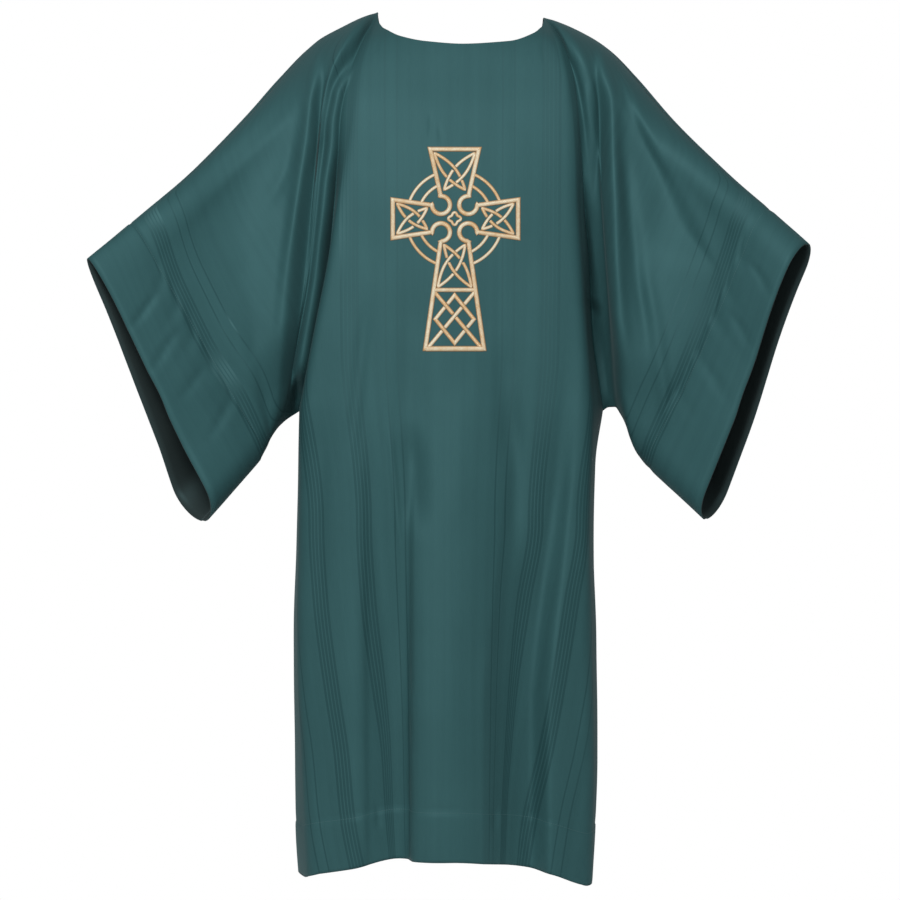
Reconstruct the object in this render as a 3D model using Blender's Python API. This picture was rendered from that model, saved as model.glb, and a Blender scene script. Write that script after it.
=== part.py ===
"""Dalmatic, worn form with no wearer: front and back cut in one with their half sleeves.

Frame: metres, +Z up, the front faces -Y, the wearer's left is +X.
The origin lies between the two neck points, where a pair of shoulders carries the garment.
"""
import math

import bpy
import numpy as np
from mathutils.geometry import delaunay_2d_cdt

# ---------------------------------------------------------------- sizes
WALL = 0.0020            # cloth wall
HEM_STEP = 0.0010        # the turned-up hem thickens the wall inwards
HEM_DEPTH = 0.075        # turned-up hem at the foot
SEAM_GAP = 0.0004        # front and back stay this far apart at every seam
SWING = math.radians(29)  # both sleeves swing forward from the body
ARMPIT_Z = -0.586        # height of the armpits

# ---------------------------------------------------------------- body sections
# One row a height: the deep fold beside the chest, the chest's edge and the middle, right then left.
# The fold ends at the armpits, where the side seam takes over.
BODY_COLUMNS = ("z", "fold_rx", "fold_ry", "edge_rx", "edge_ry", "mid_y",
                "edge_lx", "edge_ly", "fold_lx", "fold_ly")
BODY = (
    (0.010, -0.1082, 0.010, -0.1025, -0.010, -0.026, 0.1360, -0.008, 0.1390, 0.015),
    (0.002, -0.1095, -0.006, -0.1030, -0.018, -0.044, 0.1370, -0.014, 0.1399, 0.010),
    (-0.008, -0.1125, -0.022, -0.1040, -0.032, -0.066, 0.1390, -0.026, 0.1450, -0.012),
    (-0.045, -0.1300, -0.064, -0.1160, -0.078, -0.088, 0.1540, -0.080, 0.1660, -0.066),
    (-0.098, -0.1480, -0.087, -0.1290, -0.100, -0.103, 0.1680, -0.101, 0.1795, -0.091),
    (-0.150, -0.1580, -0.094, -0.1360, -0.111, -0.116, 0.1750, -0.112, 0.1855, -0.095),
    (-0.220, -0.1640, -0.084, -0.1490, -0.115, -0.126, 0.1800, -0.116, 0.1920, -0.082),
    (-0.290, -0.1700, -0.058, -0.1650, -0.114, -0.129, 0.1835, -0.116, 0.1980, -0.050),
    (-0.370, -0.1790, -0.028, -0.1790, -0.112, -0.127, 0.1890, -0.113, 0.2060, -0.020),
    (-0.470, -0.1960, -0.002, -0.1990, -0.109, -0.124, 0.1970, -0.110, 0.2110, 0.000),
    (-0.562, -0.2180, 0.003, -0.2150, -0.103, -0.122, 0.2034, -0.106, 0.2240, 0.002),
    (-0.586, -0.2245, 0.018, -0.2185, -0.101, -0.122, 0.2050, -0.105, 0.2285, 0.016),
    (-0.660, -0.2262, 0.008, -0.2200, -0.092, -0.122, 0.2060, -0.100, 0.2165, 0.008),
    (-0.780, -0.2285, 0.004, -0.2205, -0.088, -0.124, 0.2040, -0.096, 0.2125, 0.004),
    (-0.930, -0.2330, 0.004, -0.2220, -0.086, -0.126, 0.2060, -0.092, 0.2150, 0.004),
    (-1.100, -0.2295, 0.004, -0.2140, -0.086, -0.126, 0.2090, -0.088, 0.2165, 0.004),
    (-1.290, -0.2240, 0.004, -0.2030, -0.088, -0.126, 0.2070, -0.084, 0.2120, 0.004),
)
BACK = (
    (0.010, -0.1082, 0.010, -0.1025, 0.026, 0.050, 0.1360, 0.022, 0.1390, 0.004),
    (0.002, -0.1098, 0.022, -0.1030, 0.040, 0.064, 0.1370, 0.036, 0.1399, 0.010),
    (-0.008, -0.1145, 0.036, -0.1050, 0.056, 0.078, 0.1395, 0.048, 0.1455, 0.028),
    (-0.045, -0.1330, 0.070, -0.1190, 0.088, 0.096, 0.1560, 0.088, 0.1660, 0.070),
    (-0.098, -0.1475, 0.098, -0.1310, 0.108, 0.113, 0.1640, 0.108, 0.1790, 0.098),
    (-0.150, -0.1570, 0.108, -0.1410, 0.119, 0.126, 0.1700, 0.119, 0.1850, 0.108),
    (-0.220, -0.1630, 0.110, -0.1500, 0.126, 0.138, 0.1760, 0.126, 0.1900, 0.110),
    (-0.290, -0.1690, 0.102, -0.1590, 0.127, 0.143, 0.1810, 0.127, 0.1960, 0.102),
    (-0.370, -0.1780, 0.086, -0.1710, 0.125, 0.143, 0.1870, 0.125, 0.2020, 0.086),
    (-0.470, -0.1950, 0.056, -0.1900, 0.122, 0.140, 0.1950, 0.121, 0.2090, 0.056),
    (-0.562, -0.2180, 0.036, -0.2110, 0.116, 0.138, 0.2040, 0.115, 0.2240, 0.035),
    (-0.586, -0.2245, 0.018, -0.2160, 0.114, 0.138, 0.2060, 0.113, 0.2285, 0.016),
    (-0.660, -0.2262, 0.008, -0.2190, 0.104, 0.138, 0.2070, 0.104, 0.2165, 0.008),
    (-0.780, -0.2285, 0.004, -0.2200, 0.098, 0.141, 0.2050, 0.098, 0.2125, 0.004),
    (-0.930, -0.2330, 0.004, -0.2210, 0.096, 0.145, 0.2060, 0.096, 0.2150, 0.004),
    (-1.100, -0.2295, 0.004, -0.2150, 0.095, 0.147, 0.2080, 0.094, 0.2165, 0.004),
    (-1.290, -0.2240, 0.004, -0.2080, 0.093, 0.147, 0.2060, 0.092, 0.2120, 0.004),
)

# Side seams from the armpits to the foot, the same for the front and the back.
SIDE_COLUMNS = ("z", "rx", "ry", "lx", "ly")
SIDE = (
    (-0.586, -0.2245, 0.018, 0.2285, 0.016),
    (-0.660, -0.2262, 0.008, 0.2175, 0.008),
    (-0.780, -0.2285, 0.004, 0.2145, 0.004),
    (-0.930, -0.2330, 0.004, 0.2185, 0.004),
    (-1.100, -0.2310, 0.004, 0.2195, 0.004),
    (-1.200, -0.2300, 0.004, 0.2170, 0.004),
    (-1.290, -0.2240, 0.004, 0.2110, 0.004),
)

# Height of the neckline and of the foot across the panel: -1 is its right edge, +1 its left edge,
# and -2 and +2 are the folds that rise to the neck points.
EDGE_COLUMNS = ("across", "front_z", "back_z")
NECK = (
    (-2.00, 0.0100, 0.0100),
    (-1.60, 0.0010, 0.0035),
    (-1.16, -0.0089, -0.0045),
    (-1.00, -0.0171, -0.0095),
    (-0.88, -0.0258, -0.0165),
    (-0.70, -0.0375, -0.0240),
    (-0.40, -0.0463, -0.0290),
    (0.00, -0.0505, -0.0310),
    (0.50, -0.0460, -0.0290),
    (0.80, -0.0325, -0.0235),
    (0.93, -0.0208, -0.0150),
    (1.00, -0.0149, -0.0095),
    (1.16, -0.0050, -0.0045),
    (2.00, 0.0020, 0.0020),
)
FOOT = (
    (-1.25, -1.2714, -1.2714),
    (-1.00, -1.2650, -1.2700),
    (-0.70, -1.2540, -1.2660),
    (-0.35, -1.2400, -1.2620),
    (0.00, -1.2400, -1.2610),
    (0.35, -1.2470, -1.2630),
    (0.70, -1.2610, -1.2680),
    (1.00, -1.2810, -1.2750),
    (1.25, -1.2770, -1.2770),
)

# ---------------------------------------------------------------- sleeves
# The overarm fold runs from the neck point to the cuff's upper corner, the underarm from the armpit
# to the cuff's lower corner. "reach" is the share of the way along.
ARM_COLUMNS = ("reach", "x", "y", "z")
OVERARM = {
    "right": (
        (0.000, -0.1082, 0.0100, 0.0100),
        (0.125, -0.1790, 0.0065, -0.0203),
        (0.225, -0.2231, -0.0083, -0.0581),
        (0.345, -0.2662, -0.0329, -0.1145),
        (0.465, -0.3089, -0.0578, -0.1650),
        (0.575, -0.3511, -0.0822, -0.2124),
        (0.683, -0.3928, -0.1063, -0.2555),
        (0.790, -0.4340, -0.1301, -0.2939),
        (1.000, -0.5185, -0.1790, -0.3700),
    ),
    "left": (
        (0.000, 0.1399, 0.0100, 0.0020),
        (0.115, 0.2013, 0.0042, -0.0236),
        (0.222, 0.2447, -0.0208, -0.0567),
        (0.320, 0.2770, -0.0394, -0.0975),
        (0.416, 0.3089, -0.0578, -0.1390),
        (0.532, 0.3510, -0.0822, -0.1906),
        (0.648, 0.3928, -0.1063, -0.2323),
        (0.763, 0.4340, -0.1301, -0.2707),
        (1.000, 0.5120, -0.1760, -0.3480),
    ),
}
UNDERARM = {
    "right": (
        (0.000, -0.2245, 0.0180, -0.5860),
        (0.130, -0.2470, -0.0010, -0.6015),
        (0.380, -0.2795, -0.0275, -0.6455),
        (0.565, -0.2990, -0.0435, -0.6820),
        (0.740, -0.3225, -0.0614, -0.7115),
        (1.000, -0.3604, -0.0923, -0.7476),
    ),
    "left": (
        (0.000, 0.2285, 0.0160, -0.5860),
        (0.080, 0.2420, 0.0039, -0.5790),
        (0.180, 0.2560, -0.0080, -0.5940),
        (0.400, 0.2835, -0.0302, -0.6520),
        (0.600, 0.3070, -0.0490, -0.6860),
        (0.800, 0.3385, -0.0750, -0.7180),
        (1.000, 0.3727, -0.1022, -0.7445),
    ),
}
# One row a fold line that falls from the overarm to the underarm: where it starts and ends, how far it
# bows towards the body high and low, how far the front and the back stand off the sleeve's middle at
# 15, 40, 70 and 92 per cent of the fall, how soft the upper and lower turns are, and the mesh steps
# from the line before.
LINE_COLUMNS = ("name", "over", "under", "bow_hi", "bow_lo", "f15", "f40", "f70", "f92",
                "b15", "b40", "b70", "b92", "turn_hi", "turn_lo", "steps")
LINES = {
    "right": (
        ("trough", 0.022, 0.048, -0.019, -0.001, 0.094, 0.090, 0.032, 0.008,
         0.083, 0.097, 0.062, 0.018, 0.12, 0.06, 1),
        ("first ridge", 0.048, 0.110, -0.028, -0.006, 0.104, 0.106, 0.088, 0.050,
         0.094, 0.112, 0.094, 0.050, 0.12, 0.10, 3),
        ("valley", 0.159, 0.185, 0.003, 0.004, 0.090, 0.096, 0.084, 0.054,
         0.086, 0.102, 0.086, 0.050, 0.12, 0.10, 2),
        ("second ridge", 0.208, 0.280, -0.004, -0.018, 0.088, 0.104, 0.100, 0.062,
         0.080, 0.102, 0.096, 0.062, 0.12, 0.12, 2),
        ("soft valley", 0.284, 0.345, -0.010, -0.030, 0.070, 0.088, 0.090, 0.060,
         0.068, 0.086, 0.086, 0.060, 0.12, 0.12, 2),
        ("plane", 0.433, 0.380, -0.024, -0.034, 0.054, 0.070, 0.080, 0.058,
         0.054, 0.070, 0.078, 0.058, 0.12, 0.12, 2),
        ("plane end", 0.655, 0.420, -0.020, -0.016, 0.040, 0.052, 0.066, 0.058,
         0.042, 0.054, 0.066, 0.058, 0.14, 0.12, 1),
        ("hem", 0.857, 0.460, -0.004, -0.004, 0.028, 0.038, 0.050, 0.058,
         0.028, 0.038, 0.050, 0.058, 0.20, 0.12, 1),
        ("hem fold", 0.861, 0.470, -0.004, -0.004, 0.028, 0.038, 0.050, 0.058,
         0.028, 0.038, 0.050, 0.058, 0.20, 0.12, 1),
        ("cuff", 1.000, 1.000, 0.003, 0.001, 0.022, 0.031, 0.043, 0.060,
         0.022, 0.031, 0.043, 0.060, 0.25, 0.12, 2),
    ),
    "left": (
        ("trough", 0.026, 0.048, -0.021, -0.006, 0.098, 0.086, 0.030, 0.008,
         0.083, 0.097, 0.062, 0.018, 0.12, 0.06, 1),
        ("first ridge", 0.060, 0.105, -0.024, -0.012, 0.104, 0.092, 0.042, 0.020,
         0.094, 0.112, 0.094, 0.050, 0.12, 0.10, 3),
        ("valley", 0.150, 0.170, -0.007, 0.000, 0.092, 0.092, 0.078, 0.048,
         0.086, 0.102, 0.086, 0.050, 0.12, 0.10, 2),
        ("second ridge", 0.210, 0.270, -0.014, -0.010, 0.092, 0.104, 0.098, 0.060,
         0.080, 0.102, 0.096, 0.062, 0.12, 0.12, 2),
        ("soft valley", 0.300, 0.345, -0.020, -0.024, 0.074, 0.090, 0.090, 0.060,
         0.068, 0.086, 0.086, 0.060, 0.12, 0.12, 2),
        ("plane", 0.446, 0.400, -0.024, -0.034, 0.054, 0.070, 0.078, 0.056,
         0.054, 0.070, 0.078, 0.056, 0.12, 0.12, 2),
        ("plane end", 0.672, 0.435, -0.024, -0.030, 0.042, 0.052, 0.060, 0.052,
         0.042, 0.054, 0.060, 0.052, 0.14, 0.12, 1),
        ("hem", 0.825, 0.470, -0.006, -0.010, 0.034, 0.036, 0.042, 0.046,
         0.034, 0.036, 0.042, 0.046, 0.12, 0.12, 1),
        ("hem fold", 0.829, 0.480, -0.006, -0.010, 0.034, 0.036, 0.042, 0.046,
         0.034, 0.036, 0.042, 0.046, 0.12, 0.12, 1),
        ("cuff", 1.000, 1.000, 0.004, -0.002, 0.034, 0.031, 0.037, 0.040,
         0.034, 0.031, 0.037, 0.040, 0.10, 0.10, 2),
    ),
}

# ---------------------------------------------------------------- folds of the skirt
# Each row is a soft ridge (+) or trough (-) that starts at z_start and is full at the foot:
# where it lies high and low, its depth, and its width to the right and to the left.
FOLD_COLUMNS = ("name", "x_top", "x_foot", "z_start", "depth", "wide_r", "wide_l")
FRONT_FOLDS = (
    ("centre column", -0.002, -0.006, -0.46, 0.013, 0.060, 0.062),
    ("column edge", -0.045, -0.047, -0.55, 0.007, 0.012, 0.050),
    ("right trough", -0.085, -0.082, -0.42, -0.009, 0.036, 0.030),
    ("right ridge", -0.150, -0.135, -0.55, 0.005, 0.030, 0.028),
    ("left trough", 0.072, 0.092, -0.20, -0.012, 0.034, 0.045),
    ("left ridge", 0.150, 0.145, -0.60, 0.005, 0.030, 0.030),
    ("chest hollow", -0.040, -0.060, -0.14, -0.003, 0.025, 0.025),
)
BACK_FOLDS = (
    ("centre column", 0.010, 0.015, -0.40, 0.012, 0.050, 0.055),
    ("right trough", -0.075, -0.065, -0.34, -0.011, 0.040, 0.032),
    ("right ridge", -0.140, -0.125, -0.50, 0.006, 0.034, 0.030),
    ("left trough", 0.085, 0.085, -0.30, -0.010, 0.034, 0.042),
    ("left ridge", 0.150, 0.145, -0.55, 0.006, 0.032, 0.032),
)

# ---------------------------------------------------------------- mesh steps
FALL = (0.0, 0.018, 0.045, 0.08, 0.125, 0.18, 0.245, 0.315, 0.385, 0.455, 0.525, 0.595, 0.665,
        0.735, 0.80, 0.86, 0.91, 0.95, 0.98, 1.0)
SKIRT_ROWS = 13          # rows from the armpits to the foot hem
PANEL_STEPS = {"front": 26, "back": 16}
WALL_STEPS = {"front": 4, "back": 3}
ARMPIT_OUT = (0.35, 0.0, -0.94)  # the wall faces this way at the armpits, mirrored on the right
NORMAL_SOFTENING = 2     # evens out the wall inside sharp folds
FOLD_DEPTH_LIMIT = 2.0   # the wall at the bottom of a fold is at most this many times as deep
CORNER_STEPS = 2
CORNER = 0.07            # share of the half panel that rounds into the corner
CORNER_WALL = 0.16       # share of the side wall that does


def curve(at, knots, values):
    """Cubic through the rows of a table that keeps to their rise and fall and holds beyond its ends."""
    knots = np.asarray(knots, float)
    values = np.asarray(values, float)
    if knots[0] > knots[-1]:
        knots = knots[::-1]
        values = values[::-1]
    gap = np.diff(knots)
    rise = np.diff(values) / gap
    both = rise[:-1] * rise[1:]
    slope = np.zeros(len(values))
    slope[1:-1] = np.where(both > 0, 2 * both / np.where(both > 0, rise[:-1] + rise[1:], 1), 0)
    slope[0] = rise[0]
    slope[-1] = rise[-1]
    at = np.clip(at, knots[0], knots[-1])
    k = np.clip(np.searchsorted(knots, at) - 1, 0, len(gap) - 1)
    u = (at - knots[k]) / gap[k]
    return ((1 + 2 * u) * (1 - u) ** 2 * values[k] + u * (1 - u) ** 2 * gap[k] * slope[k]
            + u * u * (3 - 2 * u) * values[k + 1] + u * u * (u - 1) * gap[k] * slope[k + 1])


def read(table, columns, name, at):
    """Value of one named column of a table at the given places of its first column."""
    k = columns.index(name)
    return curve(at, [row[0] for row in table], [row[k] for row in table])


def ease(v):
    """Soft step from 0 to 1."""
    v = np.clip(v, 0.0, 1.0)
    return v * v * (3 - 2 * v)


def fold_relief(folds, x, z):
    """How far the skirt's folds stand out at a place on the panel."""
    out = np.zeros(np.broadcast(x, z).shape)
    for name, x_top, x_foot, z_start, depth, wide_r, wide_l in folds:
        fall = (z - z_start) / (-1.26 - z_start)
        line = x_top + (x_foot - x_top) * np.clip(fall, 0, 1)
        side = np.where(x < line, wide_r, wide_l)
        out = out + depth * ease(fall * 1.3) * np.exp(-((x - line) / side) ** 2)
    return out


def body_section(layer, a, z):
    """Point of the body at height z; a runs -2 right fold, -1..1 panel, 2 left fold."""
    table = BODY if layer == "front" else BACK
    sign = -1.0 if layer == "front" else 1.0
    folds = FRONT_FOLDS if layer == "front" else BACK_FOLDS

    def panel(v):
        v = np.clip(v, -1, 1)
        ex_r = read(table, BODY_COLUMNS, "edge_rx", z)
        ex_l = read(table, BODY_COLUMNS, "edge_lx", z)
        ey_r = read(table, BODY_COLUMNS, "edge_ry", z)
        ey_l = read(table, BODY_COLUMNS, "edge_ly", z)
        mid = read(table, BODY_COLUMNS, "mid_y", z)
        x = ex_r + (ex_l - ex_r) * (v + 1) / 2
        edge = np.where(v < 0, ey_r, ey_l)
        y = mid + (edge - mid) * np.abs(v) ** 2.2
        fade = ease((1 - np.abs(v)) / 0.15)
        y = y + sign * fold_relief(folds, x, z) * fade
        return np.stack([x, y], -1)

    def wall(w, side):
        seam = z < ARMPIT_Z
        fx = np.where(seam, read(SIDE, SIDE_COLUMNS, side + "x", z),
                      read(table, BODY_COLUMNS, "fold_" + side + "x", z))
        fy = np.where(seam, read(SIDE, SIDE_COLUMNS, side + "y", z),
                      read(table, BODY_COLUMNS, "fold_" + side + "y", z))
        corner = panel(np.full_like(z, -1.0 if side == "r" else 1.0))
        x = fx + (corner[..., 0] - fx) * w ** 1.5
        y = fy + (corner[..., 1] - fy) * w
        return np.stack([x, y], -1)

    v = np.abs(a)
    out = panel(a)
    for side, s in (("r", -1.0), ("l", 1.0)):
        mine = (a * s > 0)
        far = wall(np.clip(2 - v, 0, 1), side)
        out = np.where((mine & (v >= 1 + CORNER_WALL - 1e-9))[..., None], far, out)
        turn = mine & (v > 1 - CORNER + 1e-9) & (v < 1 + CORNER_WALL - 1e-9)
        u = np.clip((v - 1 + CORNER) / (CORNER + CORNER_WALL), 0, 1)[..., None]
        start = panel(np.full_like(z, s * (1 - CORNER)))
        middle = panel(np.full_like(z, s))
        end = wall(np.full_like(z, 1 - CORNER_WALL), side)
        arc = (1 - u) ** 2 * start + 2 * u * (1 - u) * middle + u * u * end
        out = np.where(turn[..., None], arc, out)
    return np.concatenate([out, z[..., None]], -1)


def body_columns(layer):
    """Across values of the body's mesh columns."""
    wall = np.linspace(-2, -1 - CORNER_WALL, WALL_STEPS[layer] + 1)[:-1]
    corner = np.linspace(-1 - CORNER_WALL, -1 + CORNER, CORNER_STEPS + 1)[:-1]
    half = np.linspace(-1 + CORNER, 1 - CORNER, PANEL_STEPS[layer] + 1)
    left = np.concatenate([wall, corner])
    return np.concatenate([left, half, -left[::-1]])


def top_height(layer, a):
    """Height of the neckline, which rises along the side walls to the neck points."""
    return read(NECK, EDGE_COLUMNS, layer + "_z", a)


def skirt_falls():
    """Shares of the fall from the armpits to the foot, with a narrow row where the hem turns."""
    length = 0.68
    hem = 1 - HEM_DEPTH / length
    rows = np.linspace(0, hem, SKIRT_ROWS + 1)
    return np.concatenate([rows, [hem + 0.004, (1 + hem) / 2, 1.0]])


def body_grid(layer):
    """Outer points of the body, one row a fall and one column an across value."""
    a = body_columns(layer)
    top = top_height(layer, a)
    arm = np.full_like(a, ARMPIT_Z)
    foot = read(FOOT, EDGE_COLUMNS, layer + "_z", np.clip(a, -1.25, 1.25))
    rows = [top + (arm - top) * t for t in FALL]
    rows += [arm + (foot - arm) * s for s in skirt_falls()[1:]]
    z = np.array(rows)
    return body_section(layer, np.broadcast_to(a, z.shape), z)


def sleeve_lines(layer, side):
    """Points of every fold line of a sleeve at every fall, the body's fold first."""
    s = -1.0 if side == "right" else 1.0
    t = np.array(FALL)
    z0 = OVERARM[side][0][3]
    first = body_section(layer, np.full_like(t, 2 * s), z0 + (ARMPIT_Z - z0) * t)
    lines = [first]
    for row in LINES[side]:
        r = dict(zip(LINE_COLUMNS, row))
        top = np.array([read(OVERARM[side], ARM_COLUMNS, c, r["over"]) for c in "xyz"])
        low = np.array([read(UNDERARM[side], ARM_COLUMNS, c, r["under"]) for c in "xyz"])
        k = "f" if layer == "front" else "b"
        off = curve(t, (0, 0.15, 0.40, 0.70, 0.92, 1),
                    (r[k + "15"], r[k + "15"], r[k + "40"], r[k + "70"], r[k + "92"], r[k + "92"]))
        off = off * np.sqrt(1 - (1 - np.minimum(t / r["turn_hi"], 1)) ** 2)
        off = off * np.sqrt(1 - (1 - np.minimum((1 - t) / r["turn_lo"], 1)) ** 2)
        bow = curve(t, (0, 0.2, 0.65, 1), (0, r["bow_hi"], r["bow_lo"], 0))
        swing = SWING * ease((r["over"] + r["under"]) / 0.9)
        away = np.array([s * math.sin(swing), math.cos(swing), 0.0])
        away = away * (-1.0 if layer == "front" else 1.0)
        line = top + (low - top) * t[:, None] + off[:, None] * away
        line[:, 0] -= s * bow
        lines.append(line)
    return np.array(lines)


def sleeve_grid(layer, side):
    """Outer points of a sleeve; the first column is the body's fold, the last one the cuff."""
    lines = sleeve_lines(layer, side)
    at = [0.0]
    for k, row in enumerate(LINES[side]):
        steps = row[-1]
        at += [k + (i + 1) / steps for i in range(steps)]
    knots = np.arange(len(lines))
    out = np.zeros((len(FALL), len(at), 3))
    for j in range(len(FALL)):
        for c in range(3):
            out[j, :, c] = curve(np.array(at), knots, lines[:, j, c])
    return out


# ---------------------------------------------------------------- walls
def panel_surface(layer):
    """Outer points of one panel with its faces, its place along and across, and its seam marks."""
    body = body_grid(layer)
    rows, cols = body.shape[:2]
    falls = len(FALL)
    points = [body.reshape(-1, 3)]
    ids = np.arange(rows * cols).reshape(rows, cols)
    grids = [(ids, False)]
    hem = np.zeros(rows * cols)
    hem.reshape(rows, cols)[-3:, :] = 1
    seam = np.zeros((rows, cols))
    seam[falls - 1:, 0] = 1
    seam[falls - 1:, -1] = 1
    seam[0, 0] = 1
    seam[0, -1] = 1
    marks = [(hem, seam.ravel())]
    count = rows * cols
    for side in ("right", "left"):
        grid = sleeve_grid(layer, side)[:, 1:]
        wide = grid.shape[1]
        mine = count + np.arange(falls * wide).reshape(falls, wide)
        count += falls * wide
        points.append(grid.reshape(-1, 3))
        shared = ids[:falls, 0 if side == "right" else -1]
        grids.append((np.concatenate([shared[:, None], mine], 1), side == "right"))
        hem = np.zeros((falls, wide))
        hem[:, -3:] = 1
        seam = np.zeros((falls, wide))
        seam[0] = 1
        seam[-1] = 1
        marks.append((hem.ravel(), seam.ravel()))
    faces = []
    for grid, mirrored in grids:
        flip = mirrored != (layer == "back")
        for j in range(grid.shape[0] - 1):
            for i in range(grid.shape[1] - 1):
                quad = [grid[j, i], grid[j + 1, i], grid[j + 1, i + 1], grid[j, i + 1]]
                faces.append(quad[::-1] if flip else quad)
    hems = np.concatenate([m[0] for m in marks])
    seams = np.concatenate([m[1] for m in marks])
    return np.concatenate(points), np.array(faces), hems, seams


def corner_normals(points, faces):
    """Sum of the face normals round every point, each face counted by its angle there."""
    out = np.zeros_like(points)
    for k in range(4):
        here = points[faces[:, k]]
        after = points[faces[:, (k + 1) % 4]] - here
        before = points[faces[:, k - 1]] - here
        cross = np.cross(after, before)
        size = np.linalg.norm(cross, axis=1)
        reach = np.linalg.norm(after, axis=1) * np.linalg.norm(before, axis=1)
        angle = np.arcsin(np.clip(size / np.maximum(reach, 1e-12), 0, 1))
        unit = cross / np.maximum(size, 1e-12)[:, None]
        np.add.at(out, faces[:, k], unit * angle[:, None])
    return out


def wall_normals(panels):
    """Unit normals of both panels, alike where their seams meet."""
    sums = {name: corner_normals(p[0], p[1]) for name, p in panels.items()}
    front, back = panels["front"], panels["back"]
    mine = np.nonzero(front[3])[0]
    theirs = np.nonzero(back[3])[0]
    apart = np.linalg.norm(front[0][mine][:, None] - back[0][theirs][None], axis=2)
    for i, j in zip(mine, theirs[apart.argmin(1)]):
        total = sums["front"][i] + sums["back"][j]
        at = front[0][i]
        if min(np.linalg.norm(at - UNDERARM[side][0][1:]) for side in UNDERARM) < 0.001:
            total = np.array(ARMPIT_OUT) * (np.sign(at[0]), 1, 1)
        sums["front"][i] = total
        sums["back"][j] = total
    return {name: v / np.linalg.norm(v, axis=1)[:, None] for name, v in sums.items()}


def soften(values, faces, held, times):
    """Evens values out over the faces' corners; held points keep theirs."""
    for _ in range(times):
        total = np.zeros_like(values)
        count = np.zeros(len(values))
        for k in range(4):
            for step in (1, 3):
                np.add.at(total, faces[:, k], values[faces[:, (k + step) % 4]])
                np.add.at(count, faces[:, k], 1)
        mean = total / count[:, None]
        new = (values + mean) / 2
        values = np.where(held[:, None] > 0, values, new)
    return values / np.linalg.norm(values, axis=1)[:, None]


def wall_depth(points, faces, normals, hems, seams):
    """Thickness along each normal: more at the bottom of a fold, so that its two sides keep theirs."""
    lift = np.zeros(len(points))
    lean = np.zeros(len(points))
    count = np.zeros(len(points))
    for k in range(4):
        here = faces[:, k]
        for step in (1, 3):
            edge = points[faces[:, (k + step) % 4]] - points[here]
            edge = edge / np.maximum(np.linalg.norm(edge, axis=1), 1e-9)[:, None]
            rise = (edge * normals[here]).sum(1)
            np.add.at(lift, here, np.maximum(rise, 0) ** 2)
            np.add.at(lean, here, rise)
            np.add.at(count, here, 1)
    valley = np.where((lean > 0) & (seams == 0), np.sqrt(lift / count) * 1.4, 0)
    across = np.sqrt(np.maximum(1 - np.minimum(valley, 0.93) ** 2, 0))
    return (WALL + HEM_STEP * hems) * np.minimum(1 / across, FOLD_DEPTH_LIMIT)


def panel_wall(layer, panel, normals):
    """Closed wall of a panel: its outer points, the same moved in, and the edge between them."""
    points, faces, hems, seams = panel
    shift = np.zeros_like(points)
    shift[:, 1] = seams * SEAM_GAP / 2 * (-1 if layer == "front" else 1)
    outer = points + shift
    normals = soften(normals, faces, seams, NORMAL_SOFTENING)
    inner = outer - normals * wall_depth(points, faces, normals, hems, seams)[:, None]
    count = len(points)
    quads = [list(f) for f in faces] + [[v + count for v in f[::-1]] for f in faces]
    edges = {}
    for f in faces:
        for k in range(4):
            edges[(f[k], f[(k + 1) % 4])] = True
    for a, b in edges:
        if (b, a) in edges:
            continue
        if np.dot(points[a] - points[b], (0.31, 0.17, 0.93)) < 0:
            quads += [[b, a, b + count], [a, a + count, b + count]]
        else:
            quads += [[b, a, a + count], [b, a + count, b + count]]
    return np.concatenate([outer, inner]), quads


# ---------------------------------------------------------------- ringed cross on the chest
# Laid out from its own sizes about its middle: four flared arms with round notches between them, a
# double ring behind them, crossed pointed loops in the arms and a lozenge over a saltire in the foot.
CROSS_X = 0.0067
CROSS_Z = -0.3092
CROSS_GAP = 0.0003       # clear of the cloth
CROSS_RELIEF = 0.0011    # height of the laid threads
FRAME_WIDE = 0.0064      # outline band
LINE_WIDE = 0.0042       # ring and plait bands
RINGS = (0.0720, 0.0540)
NOTCH = 0.0128           # radius of the round notches
NOTCH_AT = 0.0197        # their middles lie this far across and up
ARM_TABLE_COLUMNS = ("turn", "reach", "half_out", "root", "half_in")
ARM_TABLE = (
    (90, 0.1010, 0.0352, 0.0345, 0.0205),
    (0, 0.0920, 0.0276, 0.0335, 0.0195),
    (-90, 0.1880, 0.0425, 0.0325, 0.0200),
    (180, 0.0895, 0.0276, 0.0335, 0.0195),
)
FOOT_BAR = 0.1030        # bar across the shaft, below the middle
LOOP_COLUMNS = ("turn", "inner", "inner_half", "outer", "outer_half", "wide")
LOOPS = (
    (90, 0.0420, 0.0150, 0.0950, 0.0290, 0.0085),
    (0, 0.0400, 0.0150, 0.0850, 0.0215, 0.0075),
    (-90, 0.0380, 0.0152, 0.0985, 0.0240, 0.0090),
    (180, 0.0400, 0.0150, 0.0830, 0.0215, 0.0075),
)
LOZENGE = (0.0280, 0.1105, 0.1800)  # half width, and its upper and lower points below the middle
SALTIRE = (0.0290, 0.1060, 0.0385, 0.1865)  # half width above, its height, half width below, its height
CENTRE = (0.0093, 0.0064)  # points and hollows of the small four-pointed ring in the middle
CENTRE_WIDE = 0.0038
BAND_STEP = 0.0150


def turned(points, turn):
    """Points (out, side) turned to a direction in degrees."""
    c = math.cos(math.radians(turn))
    s = math.sin(math.radians(turn))
    return [(u * c - v * s, u * s + v * c) for u, v in points]


def stepped(points, step):
    """The line through some points with more points along its long stretches."""
    out = [points[0]]
    for p, q in zip(points, points[1:]):
        count = max(1, math.ceil(math.dist(p, q) / step))
        for k in range(1, count + 1):
            out.append((p[0] + (q[0] - p[0]) * k / count, p[1] + (q[1] - p[1]) * k / count))
    return out


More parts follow.
